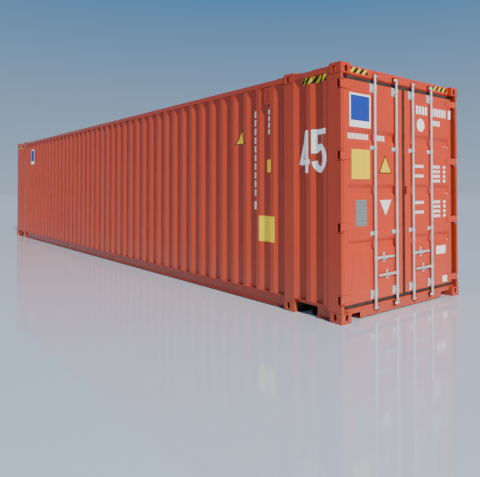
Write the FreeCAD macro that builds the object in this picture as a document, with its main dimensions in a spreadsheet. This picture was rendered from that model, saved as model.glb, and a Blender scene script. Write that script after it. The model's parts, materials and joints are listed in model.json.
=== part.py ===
"""A 45 foot high-cube dry freight container, in millimetres.

Frame: X runs along the container with the doors at +X, Y runs across it and Z is up. The
origin is the centre of the rectangle that the bottom corner castings stand on. Looking at the
doors from outside, the left door is on the -Y side. Places at the door end are written as a
depth in from the end plane, and places at the sides as a depth in from the side plane.
"""

import FreeCAD, Part
import os
import re

import Sketcher

SIZES = [
    # overall box, over the corner castings
    ("overall_length", 13716),
    ("overall_width", 2438),
    ("overall_height", 2896),
    # castings: the corner ones, and the ones at the 40 foot stacking positions
    ("stack_length", 12192),
    ("casting_length", 178),
    ("casting_width", 162),
    ("casting_height", 118),
    ("casting_wall", 28.5),
    ("casting_inner_wall", 10),
    ("face_slot_width", 51),
    ("face_slot_height", 79.5),
    ("lock_slot_length", 124.5),
    ("lock_slot_width", 63.5),
    ("slot_from_end", 103.5),
    ("slot_from_side", 89.5),
    ("slot_from_face", 68.25),
    # posts
    ("post_setback", 4),
    ("post_wall", 8),
    ("post_depth", 202),
    ("jamb_width", 42),
    ("jamb_depth", 116),
    ("rear_post_width", 74),
    ("box_post_width", 80),
    ("box_post_wall", 6),
    # rails, sills and header
    ("rail_setback", 6),
    ("top_rail_size", 60),
    ("top_rail_wall", 4),
    ("top_rail_drop", 7),
    ("ground_gap", 16),
    ("bottom_rail_height", 156),
    ("bottom_rail_top_flange", 48.5),
    ("bottom_rail_low_flange", 30.5),
    ("bottom_rail_wall", 4.5),
    ("rail_notch_length", 344),
    ("rail_notch_height", 125),
    ("header_setback", 47),
    ("header_depth", 133),
    ("header_wall", 5),
    ("header_drop", 120),
    ("header_rebate_depth", 15),
    ("header_rebate_height", 14),
    ("sill_setback", 50),
    ("sill_depth", 130),
    ("sill_step_depth", 60),
    ("sill_height", 140),
    ("sill_wall", 5),
    ("sill_notch_start", 850),
    ("sill_notch_height", 80),
    ("front_sill_depth", 100),
    # pressed sheets
    ("sheet_thickness", 2),
    ("wall_setback", 9),
    ("wall_press_depth", 36),
    ("wall_outer_flat", 72),
    ("wall_inner_flat", 70),
    ("wall_slope", 68),
    ("front_wall_setback", 30),
    ("front_press_depth", 45.6),
    ("front_outer_flat", 110),
    ("front_inner_flat", 104),
    ("front_slope", 18),
    ("roof_press_depth", 20),
    ("roof_outer_flat", 91),
    ("roof_inner_flat", 90),
    ("roof_slope", 14),
    ("roof_edge_gap", 10),
    ("roof_plate_thickness", 3),
    ("roof_plate_length", 280),
    ("roof_plate_width", 294),
    ("roof_bow_width", 100),
    ("vent_width", 126),
    ("vent_height", 214),
    ("vent_depth", 7),
    ("vent_from_post", 260),
    ("vent_top_gap", 15),
    # floor and underframe
    ("floor_thickness", 28),
    ("crossmember_gap", 18),
    ("crossmember_flange", 45),
    ("crossmember_wall", 4),
    ("crossmember_pitch", 300),
    ("bolster_width", 100),
    ("tunnel_length", 3209),
    ("tunnel_width", 1029),
    ("tunnel_leg", 6),
    ("tunnel_plate", 12),
    # doors
    ("leaf_setback", 50),
    ("leaf_depth", 50),
    ("leaf_side_gap", 53),
    ("leaf_centre_gap", 28),
    ("leaf_low", 185),
    ("leaf_top_gap", 46),
    ("stile_centre_width", 112),
    ("stile_hinge_width", 65),
    ("rail_low_width", 148),
    ("rail_high_width", 110),
    ("frame_wall", 3),
    ("pan_depth", 36),
    ("pan_height", 150),
    ("pan_slope", 46),
    ("pan_end_slope", 22),
    ("pan_low_centre", 828),
    ("pan_pitch", 638),
    ("seal_setback", 10),
    ("seal_depth", 20),
    ("seal_gap", 5),
    ("seal_centre_gap", 4),
    # hinges
    ("pin_from_side", 20),
    ("pin_from_end", 18),
    ("pin_radius", 9),
    ("pin_clearance", 0.4),
    ("knuckle_radius", 13),
    ("blade_height", 84),
    ("blade_thickness", 8),
    ("blade_reach", 120),
    ("blade_clearance", 3),
    ("lug_thickness", 15),
    ("pocket_depth", 62),
    ("hinge_low", 260),
    ("hinge_pitch", 800),
    ("hinge_high_drop", 236),
    # locking gear
    ("rod_radius", 17),
    ("rod_from_end", 24),
    ("rod_outer_place", 595),
    ("rod_inner_place", 175),
    ("rod_clearance", 0.4),
    ("rod_overhang", 4),
    ("cam_reach", 48),
    ("cam_thickness", 18),
    ("cam_height", 26),
    ("cam_low", 82),
    ("cam_high_drop", 90),
    ("keeper_gap", 7),
    ("keeper_wall", 8),
    ("keeper_base", 3),
    ("keeper_side_gap", 5),
    ("keeper_rod_gap", 2),
    ("keeper_reach", 62),
    ("keeper_front", 10),
    ("strap_wall", 4.6),
    ("bracket_base", 4),
    ("bracket_width", 130),
    ("bracket_height", 104),
    ("bracket_small_height", 50),
    ("bracket_low", 250),
    ("bracket_middle_low", 963),
    ("bracket_middle_high", 1970),
    ("bracket_high_drop", 55),
    ("strap_height", 40),
    ("handle_high", 670),
    ("handle_low", 461),
    ("handle_reach", 362),
    ("handle_thickness", 14),
    ("handle_root_height", 32),
    ("handle_grip_height", 24),
    ("handle_pin_reach", 46),
    ("handle_pin_radius", 6),
    ("handle_root_gap", 12),
    ("handle_root_taper", 6),
    ("hub_radius", 21),
    ("hub_height", 50),
    ("clevis_wall", 5),
    ("clevis_gap", 2),
    ("clevis_height", 34),
    ("clevis_overhang", 12),
    ("retainer_reach", 180),
    ("retainer_width", 30),
    ("retainer_height", 120),
    ("retainer_base", 10),
    ("shelf_thickness", 8),
    ("shelf_gap", 0.5),
    ("shelf_front", 12),
    ("plate_thickness", 2),
    ("plate_width", 196),
    ("plate_height", 303),
    ("plate_from_centre", 722),
    ("plate_low", 1057),
    ("block_from_centre", 30),
    ("block_width", 26),
    ("block_height", 100),
    ("block_depth", 20),
    ("block_low", 1420),
]

NAMES = {name for name, _ in SIZES}
WORD = re.compile(r"[a-z][a-z0-9_]*")
FACE_OF = {"x": "YZ_Plane", "y": "XZ_Plane", "z": "XY_Plane"}
NORMALS = {
    "x": FreeCAD.Vector(1, 0, 0),
    "y": FreeCAD.Vector(0, 1, 0),
    "z": FreeCAD.Vector(0, 0, 1),
}

doc = FreeCAD.newDocument("Container")
sheet = doc.addObject("Spreadsheet::Sheet", "Sizes")
for row, (alias, number) in enumerate(SIZES, start=1):
    sheet.set(f"A{row}", alias)
    sheet.set(f"B{row}", str(number))
    sheet.setAlias(f"B{row}", alias)
doc.recompute()

nodes = []


# --- formulas: text in the names of the sizes, bound to the sheet ---------------------------


def bound(formula):
    """The formula as an expression on the sheet."""
    return WORD.sub(lambda m: "Sizes." + m.group() if m.group() in NAMES else m.group(), str(formula))


def size(formula):
    """The formula's value now, for loops and first positions."""
    return float(sheet.evalExpression(bound(formula)))


def end(depth):
    """X of a plane that lies a depth in from the door end."""
    return f"(overall_length / 2 - ({depth}))"


def side(depth):
    """Y of a plane that lies a depth in from the left side."""
    return f"(({depth}) - overall_width / 2)"


def top(drop):
    """Z of a plane that lies a drop below the top."""
    return f"(overall_height - ({drop}))"


# --- shapes ---------------------------------------------------------------------------------


def box(name, x, y, z):
    """A block between a low and a high formula on each axis."""
    block = doc.addObject("Part::Box", name)
    for edge, axis, (low, high) in zip(("Length", "Width", "Height"), "xyz", (x, y, z)):
        block.setExpression("Placement.Base." + axis, bound(low))
        block.setExpression(edge, bound(f"({high}) - ({low})"))
    return block


def cylinder(name, axis, radius, centre, low, high):
    """A round bar along an axis; centre holds its other two coordinates in X, Y, Z order."""
    bar = doc.addObject("Part::Cylinder", name)
    turns = {
        "x": FreeCAD.Rotation(NORMALS["y"], 90),
        "y": FreeCAD.Rotation(NORMALS["x"], -90),
        "z": FreeCAD.Rotation(),
    }
    bar.Placement = FreeCAD.Placement(FreeCAD.Vector(), turns[axis])
    places = dict(zip([a for a in "xyz" if a != axis], centre))
    places[axis] = low
    for letter, formula in places.items():
        bar.setExpression("Placement.Base." + letter, bound(formula))
    bar.setExpression("Radius", bound(radius))
    bar.setExpression("Height", bound(f"({high}) - ({low})"))
    return bar


def outline(sketch, corners):
    """A closed outline of straight lines, each corner held by two bound distances."""
    first = sketch.GeometryCount
    count = len(corners)
    spots = [FreeCAD.Vector(size(across), size(up), 0) for across, up in corners]
    for i in range(count):
        sketch.addGeometry(Part.LineSegment(spots[i], spots[(i + 1) % count]), False)
    for i in range(count):
        joined = (first + i, 2, first + (i + 1) % count, 1)
        sketch.addConstraint(Sketcher.Constraint("Coincident", *joined))
    for i, (across, up) in enumerate(corners):
        for kind, formula, value in (("DistanceX", across, spots[i].x), ("DistanceY", up, spots[i].y)):
            index = sketch.addConstraint(Sketcher.Constraint(kind, -1, 1, first + i, 1, value))
            sketch.setExpression(f"Constraints[{index}]", bound(formula))


def section(name, axis, outlines, low, high):
    """A rolled or folded section: a body whose outlines are padded along an axis."""
    body = doc.addObject("PartDesign::Body", name)
    plane = next(item for item in body.Origin.OriginFeatures if item.Role == FACE_OF[axis])
    sketch = body.newObject("Sketcher::SketchObject", name + "_outline")
    sketch.AttachmentSupport = (plane, "")
    sketch.MapMode = "FlatFace"
    for corners in outlines:
        outline(sketch, corners)
    pad = body.newObject("PartDesign::Pad", name + "_pad")
    pad.Profile = sketch
    pad.Reversed = axis == "y"
    pad.setExpression("Length", bound(f"({high}) - ({low})"))
    body.setExpression("Placement.Base." + axis, bound(low))
    return body


def rectangle(across, up, inset="0"):
    """The four corners between two pairs of formulas, moved in by an inset."""
    (left, right), (bottom, upper) = across, up
    left, right = f"({left}) + ({inset})", f"({right}) - ({inset})"
    bottom, upper = f"({bottom}) + ({inset})", f"({upper}) - ({inset})"
    return [(left, bottom), (right, bottom), (right, upper), (left, upper)]


def tube(name, axis, across, up, wall, low, high):
    """A rectangular tube along an axis."""
    outlines = [rectangle(across, up), rectangle(across, up, wall)]
    return section(name, axis, outlines, low, high)


def fuse(name, shapes):
    joined = doc.addObject("Part::MultiFuse", name)
    joined.Shapes = shapes
    return joined


def cut(name, base, tools):
    """The base with the tools taken out of it."""
    result = doc.addObject("Part::Cut", name)
    result.Base = base
    result.Tool = tools[0] if len(tools) == 1 else fuse(name + "_tools", tools)
    return result


def common(name, first, second):
    """What two shapes share."""
    shared = doc.addObject("Part::MultiCommon", name)
    shared.Shapes = [first, second]
    return shared


def mirrored(name, source, axis):
    """The source reflected in the plane through the origin across an axis."""
    copy = doc.addObject("Part::Mirroring", name)
    copy.Source = source
    copy.Normal = NORMALS[axis]
    return copy


def together(name, shapes):
    """Solids that don't touch, held as one object."""
    held = doc.addObject("Part::Compound", name)
    held.Links = shapes
    return held


def node(label, shape):
    """Marks an object as a sub-part; its label names its file."""
    shape.Label = label
    nodes.append(shape)
    return shape


def both_sides(label, shape):
    """A sub-part of one piece at each side."""
    return node(label, together(label + "_pair", [shape, mirrored(label + "_right", shape, "y")]))


def both_ends(name, shape):
    """A piece and its reflection at the other end."""
    return together(name + "_ends", [shape, mirrored(name + "_front", shape, "x")])


def pressed_sheet(name, path, thickness, run, along):
    """A sheet pressed into flats and slopes.

    The path holds 3-D points on the sheet's outer face; thickness is the vector through the
    sheet and run the vector along which the folds stay straight.
    """
    inner = [spot + thickness for spot in reversed(path)]
    loop = path + inner
    face = Part.Face(Part.makePolygon(loop + [loop[0]]))
    made = doc.addObject("Part::Feature", name)
    made.Shape = face.extrude(run)
    made.Placement = FreeCAD.Placement(along, FreeCAD.Rotation())
    return made


# A last fold is still made when it is short of room by this share of a fold.
SQUEEZE = 0.02


def folds(low, high, widths, closing=0):
    """Path of a pressed sheet from low to high, as (distance, depth) pairs.

    widths are the (width, depth at its end) of the parts of one fold, and closing is a last
    flat. A whole number of folds is stretched to fill the length.
    """
    fold = sum(width for width, _ in widths)
    count = max(1, int((high - low - closing) / fold + SQUEEZE))
    scale = (high - low) / (count * fold + closing)
    pairs = [(low, 0)]
    for _ in range(count):
        for width, depth in widths:
            pairs.append((pairs[-1][0] + width * scale, depth))
    if closing:
        pairs.append((high, 0))
    return pairs


def fold_of(name, depth):
    """The parts of one fold: an outer flat, a slope in, an inner flat and a slope out."""
    outer, slope, inner = size(name + "_outer_flat"), size(name + "_slope"), size(name + "_inner_flat")
    return [(outer, 0), (slope, depth), (inner, depth), (slope, 0)]


# --- castings and posts ---------------------------------------------------------------------

CASTING_X = (end("casting_length"), end("0"))
CASTING_Y = (side("0"), side("casting_width"))
CASTING_Z = (top("casting_height"), top("0"))
POST_Z = ("casting_height", top("casting_height"))
POST_BACK = end("post_setback + post_depth")


def slot(name, axis, centre, length, width, low, high):
    """A round-ended hole: a block and two bars. The longer way is X on top, or else Z."""
    half = f"({length} - {width}) / 2"
    first, second = centre
    across = {"z": (first, second), "y": (second, first), "x": (second, first)}[axis]
    long_way, short_way = across
    ends = []
    for number, sign in ((1, "-"), (2, "+")):
        spot = f"{long_way} {sign} {half}"
        place = (spot, short_way) if axis == "z" else (short_way, spot)
        ends.append(cylinder(f"{name}_end_{number}", axis, f"{width} / 2", place, low, high))
    straight = (f"{long_way} - {half}", f"{long_way} + {half}")
    narrow = (f"{short_way} - {width} / 2", f"{short_way} + {width} / 2")
    spans = {"x": ((low, high), narrow, straight), "y": (narrow, (low, high), straight)}
    spans["z"] = (straight, narrow, (low, high))
    return fuse(name, [box(name + "_middle", *spans[axis])] + ends)


def casting():
    """The rear left top corner casting: a hollow block with a slot in each outer face."""
    block = box("casting_block", CASTING_X, CASTING_Y, CASTING_Z)
    hollow = box(
        "casting_hollow",
        (end("casting_length - casting_inner_wall"), end("casting_wall")),
        (side("casting_wall"), side("casting_width - casting_inner_wall")),
        (top("casting_height - casting_inner_wall"), top("casting_wall")),
    )
    x, y, z = end("slot_from_end"), side("slot_from_side"), top("slot_from_face")
    lock = ("lock_slot_length", "lock_slot_width")
    face = ("face_slot_height", "face_slot_width")
    holes = [
        slot("lock_slot", "z", (x, y), *lock, top("casting_wall + 1"), top("-1")),
        slot("side_slot", "y", (x, z), *face, side("-1"), side("casting_wall + 1")),
        slot("end_slot", "x", (y, z), *face, end("casting_wall + 1"), end("-1")),
    ]
    return cut("casting_master", block, [hollow] + holes)


def low_copy(name, shape):
    """The shape turned over to the foot of the container."""
    lowered = together(name, [mirrored(name + "_flip", shape, "z")])
    lowered.setExpression("Placement.Base.z", bound("overall_height"))
    return lowered


def castings():
    """Eight corner castings, and eight more at the 40 foot positions."""
    upper = casting()
    stack = together("casting_stack", [upper, low_copy("casting_low", upper)])
    pair = together("casting_rear_pair", [stack, mirrored("casting_right", stack, "y")])
    node("corner_castings", both_ends("casting_corners", pair))
    shifted = together("casting_middle_pair", [pair])
    shifted.setExpression("Placement.Base.x", bound("(stack_length - overall_length) / 2"))
    node("middle_castings", both_ends("casting_middles", shifted))


def hinge_levels():
    """Two hinges measured up from the foot and two measured down from the top."""
    lower = ["hinge_low", "hinge_low + hinge_pitch"]
    return lower + [top("hinge_high_drop + hinge_pitch"), top("hinge_high_drop")]


def rear_posts():
    """Folded hollow posts with a jamb that the door seals against and a pocket at each hinge."""
    skin = "post_setback"

    def shape(inset):
        jamb = f"post_setback + jamb_width - {inset}"
        step = f"post_setback + jamb_depth + {inset}"
        back = f"post_setback + post_depth - {inset}"
        inner = f"post_setback + rear_post_width - {inset}"
        start = f"{skin} + {inset}"
        walk = [(start, start), (start, jamb), (step, jamb), (step, inner), (back, inner), (back, start)]
        return [(end(depth), side(inward)) for depth, inward in walk]

    post = section("rear_post", "z", [shape("0"), shape("post_wall")], *POST_Z)
    pockets = []
    for number, level in enumerate(hinge_levels(), start=1):
        half = "blade_height / 2 + blade_clearance + lug_thickness"
        reach = (end("pocket_depth"), end("-1"))
        across = (side("-1"), side("post_setback + jamb_width + 1"))
        pockets.append(box(f"hinge_pocket_{number}", reach, across, (f"{level} - ({half})", f"{level} + {half}")))
    both_sides("rear_corner_posts", cut("rear_post_cut", post, pockets))


def box_posts():
    """Plain tube posts at the front corners and at the 40 foot positions."""
    across = (side("post_setback"), side("post_setback + box_post_width"))
    reach = (POST_BACK, end("post_setback"))
    corner = tube("front_post", "z", reach, across, "box_post_wall", *POST_Z)
    both_sides("front_corner_posts", mirrored("front_post_turned", corner, "x"))
    reach = ("stack_length / 2 - casting_length", "stack_length / 2")
    middle = tube("middle_post", "z", reach, across, "box_post_wall", *POST_Z)
    both_sides("middle_posts", both_ends("middle_post", middle))


# --- rails, header and sills ----------------------------------------------------------------

MIDDLE_END = "stack_length / 2 - casting_length"
REAR_BAY = ("stack_length / 2", end("casting_length"))
TOP_RAIL_Z = (top("top_rail_drop + top_rail_size"), top("top_rail_drop"))
ROOF_SEAT = "top_rail_drop + roof_press_depth + sheet_thickness"
SIDE_RAIL_Z = (top(f"{ROOF_SEAT} + top_rail_size"), top(ROOF_SEAT))
TOP_RAIL_Y = (side("rail_setback"), side("rail_setback + top_rail_size"))
RAIL_TOP = "ground_gap + bottom_rail_height"
WEB = "rail_setback + bottom_rail_top_flange"
BETWEEN_CASTINGS = (side("casting_width"), "overall_width / 2 - casting_width")


def top_side_rails():
    """Tubes between the castings, low enough for the roof to lie on them."""
    main = tube("top_rail_main", "x", TOP_RAIL_Y, SIDE_RAIL_Z, "top_rail_wall", f"-({MIDDLE_END})", MIDDLE_END)
    rear = tube("top_rail_rear", "x", TOP_RAIL_Y, SIDE_RAIL_Z, "top_rail_wall", *REAR_BAY)
    both_sides("top_side_rails", together("top_rail", [main, both_ends("top_rail", rear)]))


def channel(name, low, high):
    """The bottom rail's channel, with its flanges turned outwards."""
    rim = "rail_setback"
    foot = f"{WEB} - bottom_rail_low_flange"
    wall = "bottom_rail_wall"
    walk = [
        (rim, RAIL_TOP),
        (rim, f"{RAIL_TOP} - {wall}"),
        (f"{WEB} - {wall}", f"{RAIL_TOP} - {wall}"),
        (f"{WEB} - {wall}", f"ground_gap + {wall}"),
        (foot, f"ground_gap + {wall}"),
        (foot, "ground_gap"),
        (WEB, "ground_gap"),
        (WEB, RAIL_TOP),
    ]
    return section(name, "x", [[(side(inward), up) for inward, up in walk]], low, high)


def bottom_side_rails():
    """Main rails, and end rails that are cut away beside the 40 foot castings."""
    main = channel("bottom_rail_main", f"-({MIDDLE_END})", MIDDLE_END)
    rear = channel("bottom_rail_rear", *REAR_BAY)
    across = (side("0"), side(f"{WEB} + 1"))
    notch = box(
        "bottom_rail_notch",
        ("stack_length / 2 - 1", "stack_length / 2 + rail_notch_length"),
        across,
        ("ground_gap - 1", "rail_notch_height"),
    )
    under_post = box(
        "bottom_rail_step",
        (POST_BACK, end("casting_length - 1")),
        across,
        ("casting_height", f"{RAIL_TOP} + 1"),
    )
    stepped = cut("bottom_rail_stepped", rear, [notch, under_post])
    both_sides("bottom_side_rails", together("bottom_rail", [main, both_ends("bottom_rail", stepped)]))


def header_profile(inset):
    """The header's section: a tube with a rebate along its lower front edge."""
    face = f"header_setback + {inset}"
    rebate = f"header_setback + header_rebate_depth + {inset}"
    back = f"header_setback + header_depth - {inset}"
    foot = top(f"header_drop - {inset}")
    step = top(f"header_drop - header_rebate_height - {inset}")
    roof = top(f"top_rail_drop + {inset}")
    walk = [(face, step), (face, roof), (back, roof), (back, foot), (rebate, foot), (rebate, step)]
    return [(end(depth), up) for depth, up in walk]


def door_header():
    profiles = [header_profile("0"), header_profile("header_wall")]
    node("door_header", section("door_header", "y", profiles, *BETWEEN_CASTINGS))


def sill_profile(inset):
    """The sill's section: a low step under the doors and a threshold level with the floor."""
    face = f"sill_setback + {inset}"
    step = f"sill_setback + sill_step_depth + {inset}"
    back = f"sill_setback + sill_depth - {inset}"
    foot = f"ground_gap + {inset}"
    low = f"sill_height - {inset}"
    high = f"sill_height + floor_thickness - {inset}"
    walk = [(face, foot), (face, low), (step, low), (step, high), (back, high), (back, foot)]
    return [(end(depth), up) for depth, up in walk]


def door_sill():
    """The sill, fitted over the castings and around the posts, with a notch at each end."""
    jamb = side("post_setback + jamb_width")
    full = section("sill_full", "y", [sill_profile("0"), sill_profile("sill_wall")], jamb, f"-({jamb})")
    reach = (end("sill_setback + sill_depth + 1"), end("sill_setback - 1"))
    over_casting = box("sill_casting_space", reach, (side("0"), side("casting_width")), ("0", "casting_height"))
    behind_jamb = box(
        "sill_post_space",
        (reach[0], end("post_setback + jamb_depth")),
        (side("0"), side("post_setback + rear_post_width")),
        ("0", "sill_height + floor_thickness + 1"),
    )
    notch = box("sill_notch", reach, (side("casting_width - 1"), "-sill_notch_start"), ("0", "sill_notch_height"))
    spaces = []
    for piece in (over_casting, behind_jamb, notch):
        spaces += [piece, mirrored(piece.Name + "_right", piece, "y")]
    node("door_sill", cut("door_sill", full, spaces))


FRONT_X = ("rail_setback - overall_length / 2", "rail_setback + front_sill_depth - overall_length / 2")
FRONT_POST_Y = (side("post_setback + box_post_width"), "overall_width / 2 - post_setback - box_post_width")


def front_rails():
    """The front top rail, and the front sill: a part each side of the tunnel and one over it."""
    reach = (FRONT_X[0], "rail_setback + top_rail_size - overall_length / 2")
    rail = tube("front_top_rail", "y", reach, TOP_RAIL_Z, "top_rail_wall", *BETWEEN_CASTINGS)
    node("front_top_rail", rail)
    mouth = ("-tunnel_width / 2", "tunnel_width / 2")
    beside = tube("front_sill_beside", "y", FRONT_X, ("ground_gap", RAIL_TOP), "sill_wall", FRONT_POST_Y[0], mouth[0])
    wide = ("-overall_length / 2", f"{FRONT_X[1]} + 1")
    casting_space = box("front_sill_casting_space", wide, (side("0"), side("casting_width")), ("0", "casting_height"))
    left = cut("front_sill_left", beside, [casting_space])
    over = tube("front_sill_over", "y", FRONT_X, ("sill_height - tunnel_plate", RAIL_TOP), "sill_wall", *mouth)
    node("front_sill", together("front_sill", [left, over, mirrored("front_sill_right", left, "y")]))


# --- walls and roof -------------------------------------------------------------------------


def side_sheet(name, pairs):
    """A side sheet that stands on the bottom rail and reaches the top rail."""
    face = size(side("wall_setback"))
    path = [FreeCAD.Vector(along, face + depth, 0) for along, depth in pairs]
    through = FreeCAD.Vector(0, size("sheet_thickness"), 0)
    rise = FreeCAD.Vector(0, 0, size(SIDE_RAIL_Z[0]) - size(RAIL_TOP))
    return pressed_sheet(name, path, through, rise, FreeCAD.Vector(0, 0, size(RAIL_TOP)))


def side_walls():
    """The main sheets end on a slope at the rear; the end panels start on one."""
    edge = size(MIDDLE_END)
    whole = fold_of("wall", size("wall_press_depth"))
    main = side_sheet("side_sheet", folds(-edge, edge, whole))
    post = size(POST_BACK)
    pairs = folds(size("stack_length / 2"), post, whole[1:] + whole[:1])
    pairs.append((size(end("casting_length")), 0))
    panel = side_sheet("end_panel_sheet", pairs)
    post_space = box(
        "end_panel_post_space",
        (POST_BACK, end("casting_length - 1")),
        (side("0"), side("rail_setback + top_rail_size")),
        (f"{RAIL_TOP} - 1", top("casting_height")),
    )
    fitted = cut("end_panel", panel, [post_space])
    left = together("left_sheets", [main, both_ends("end_panel", fitted)])
    node("left_side_wall", left)
    node("right_side_wall", mirrored("right_sheets", left, "y"))


def front_wall():
    """Deep, steep folds between the front posts, cut to fit under the castings."""
    fold = fold_of("front", size("front_press_depth"))
    pairs = folds(size(FRONT_POST_Y[0]), size(FRONT_POST_Y[1]), fold, closing=fold[0][0])
    face = size("front_wall_setback - overall_length / 2")
    path = [FreeCAD.Vector(face + depth, across, 0) for across, depth in pairs]
    foot = FreeCAD.Vector(0, 0, size(RAIL_TOP))
    rise = FreeCAD.Vector(0, 0, size(TOP_RAIL_Z[0]) - size(RAIL_TOP))
    through = FreeCAD.Vector(size("sheet_thickness"), 0, 0)
    sheet_metal = pressed_sheet("front_sheet", path, through, rise, foot)
    reach = ("-overall_length / 2", "casting_length - overall_length / 2")
    space = box("front_sheet_casting_space", reach, CASTING_Y, CASTING_Z)
    other = mirrored("front_sheet_casting_space_right", space, "y")
    node("front_wall", cut("front_wall", sheet_metal, [space, other]))


ROOF_X = ("rail_setback + top_rail_size - overall_length / 2", end("header_setback + header_depth"))


def roof_panels():
    """Spans of the welded roof panels along X, and across, narrower between castings."""
    corner = end("casting_length")
    front = [ROOF_X[0], f"-{corner}", "-stack_length / 2", f"-({MIDDLE_END})"]
    planes = front + [MIDDLE_END, "stack_length / 2", ROOF_X[1]]
    wide = (side("rail_setback + roof_edge_gap"), "overall_width / 2 - rail_setback - roof_edge_gap")
    across = [BETWEEN_CASTINGS, wide, BETWEEN_CASTINGS, wide, BETWEEN_CASTINGS, wide]
    return list(zip(zip(planes, planes[1:]), across))


def roof():
    """Roof panels with folds across the container, welded edge to edge and laid on the side rails."""
    fold = fold_of("roof", size("roof_press_depth"))
    pairs = folds(size(ROOF_X[0]), size(ROOF_X[1]), fold, closing=fold[0][0])
    crest = size(top("top_rail_drop"))
    path = [FreeCAD.Vector(x, 0, crest - depth) for x, depth in pairs]
    left = size(side("rail_setback + roof_edge_gap"))
    across = FreeCAD.Vector(0, -2 * left, 0)
    through = FreeCAD.Vector(0, 0, -size("sheet_thickness"))
    sheet_metal = pressed_sheet("roof_sheet", path, through, across, FreeCAD.Vector(0, left, 0))
    panels = [
        common(f"roof_panel_{i}", sheet_metal, box(f"roof_bay_{i}", along, across, CASTING_Z))
        for i, (along, across) in enumerate(roof_panels(), start=1)
    ]
    node("roof", together("roof", panels))


def roof_plates():
    """Doubler plates beside each top casting."""
    across = (side("rail_setback"), side("rail_setback + roof_plate_width"))
    up = (top("top_rail_drop"), top("top_rail_drop - roof_plate_thickness"))
    corner = end("casting_length")
    spans = [
        (f"{corner} - roof_plate_length", corner),
        ("stack_length / 2", "stack_length / 2 + roof_plate_length / 2"),
        (f"{MIDDLE_END} - roof_plate_length / 2", MIDDLE_END),
    ]
    plates = [box(f"roof_plate_{i}", span, across, up) for i, span in enumerate(spans, start=1)]
    both_sides("roof_corner_plates", both_ends("roof_plates", together("roof_plates", plates)))


def roof_bows():
    """A tube across the container under the roof at each 40 foot position."""
    centre = "(stack_length - casting_length) / 2"
    reach = (f"{centre} - roof_bow_width / 2", f"{centre} + roof_bow_width / 2")
    up = (top("casting_height"), top("top_rail_drop + roof_press_depth + sheet_thickness"))
    bow = tube("roof_bow", "y", reach, up, "top_rail_wall", *BETWEEN_CASTINGS)
    node("roof_bows", both_ends("roof_bow", bow))


def ventilators():
    """A flat hooded vent near the top of each side, at opposite ends."""
    start = f"{MIDDLE_END} - vent_from_post"
    high = f"{SIDE_RAIL_Z[0]} - vent_top_gap"
    near = box(
        "vent_near",
        (f"{start} - vent_width", start),
        (side("wall_setback - vent_depth"), side("wall_setback")),
        (f"{high} - vent_height", high),
    )
    turned = mirrored("vent_turned", near, "x")
    far = mirrored("vent_far", turned, "y")
    node("ventilators", together("ventilators", [near, far]))


# --- floor and underframe -------------------------------------------------------------------

FLOOR_X = (FRONT_X[1], end("sill_setback + sill_depth"))
FLOOR_Y = (side(WEB), f"-({side(WEB)})")
MEMBER_Z = ("crossmember_gap", "sill_height")
TUNNEL_END = f"({FRONT_X[1]} + tunnel_length)"


def floor_board():
    """One plywood deck, cut around the posts."""
    deck = box("floor_deck", FLOOR_X, FLOOR_Y, ("sill_height", "sill_height + floor_thickness"))
    up = ("sill_height - 1", "sill_height + floor_thickness + 1")
    narrow = (side("0"), side("post_setback + box_post_width"))
    rear_reach = (POST_BACK, end("0"))
    rear_across = (side("0"), side("post_setback + rear_post_width"))
    front_reach = (f"-{rear_reach[1]}", f"-{rear_reach[0]}")
    middle = both_ends("floor_middle_space", box("floor_middle_space", (MIDDLE_END, "stack_length / 2"), narrow, up))
    spaces = []
    for piece in (
        middle,
        box("floor_rear_space", rear_reach, rear_across, up),
        box("floor_front_space", front_reach, narrow, up),
    ):
        spaces += [piece, mirrored(piece.Name + "_right", piece, "y")]
    node("floor", cut("floor", deck, spaces))


def crossmember(name, place, across):
    """A C-section beam whose web is at its low-X side."""
    body = box(name + "_block", (place, f"{place} + crossmember_flange"), across, MEMBER_Z)
    wall = "crossmember_wall"
    space = box(
        name + "_space",
        (f"{place} + {wall}", f"{place} + crossmember_flange + 1"),
        (f"{across[0]} - 1", f"{across[1]} + 1"),
        (f"{MEMBER_Z[0]} + {wall}", f"{MEMBER_Z[1]} - {wall}"),
    )
    return cut(name, body, [space])


def row_of_members(name, low, high, across, skip_first=False):
    """Crossmembers evenly spaced from one formula to another."""
    span = f"(({high}) - ({low}) - crossmember_flange)"
    steps = max(1, round(size(span) / size("crossmember_pitch")))
    first = 1 if skip_first else 0
    return [
        crossmember(f"{name}_{i + 1}", f"({low}) + {i} * {span} / {steps}", across)
        for i in range(first, steps + 1)
    ]


def bolster(name, across):
    """A box beam at a 40 foot position, between the castings."""
    centre = "(stack_length - casting_length) / 2"
    reach = (f"{centre} - bolster_width / 2", f"{centre} + bolster_width / 2")
    return tube(name, "y", reach, MEMBER_Z, "sill_wall", *across)


def underframe():
    """Crossmembers under the floor; beside the tunnel they are split in two."""
    beside = (side(WEB), "-tunnel_width / 2 - tunnel_leg")
    members = row_of_members("member", TUNNEL_END, MIDDLE_END, FLOOR_Y, skip_first=True)
    members += row_of_members("rear_member", "stack_length / 2", POST_BACK, FLOOR_Y)
    members.append(bolster("rear_bolster", BETWEEN_CASTINGS))
    short = row_of_members("outrigger", f"-({MIDDLE_END})", TUNNEL_END, beside)
    short += row_of_members("front_outrigger", f"-{POST_BACK}", "-stack_length / 2", beside)
    half = bolster("front_bolster", (side("casting_width"), beside[1]))
    short.append(mirrored("front_bolster_turned", half, "x"))
    held = together("outriggers", short)
    node("crossmembers", together("crossmembers", members + [held, mirrored("outriggers_right", held, "y")]))


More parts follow.
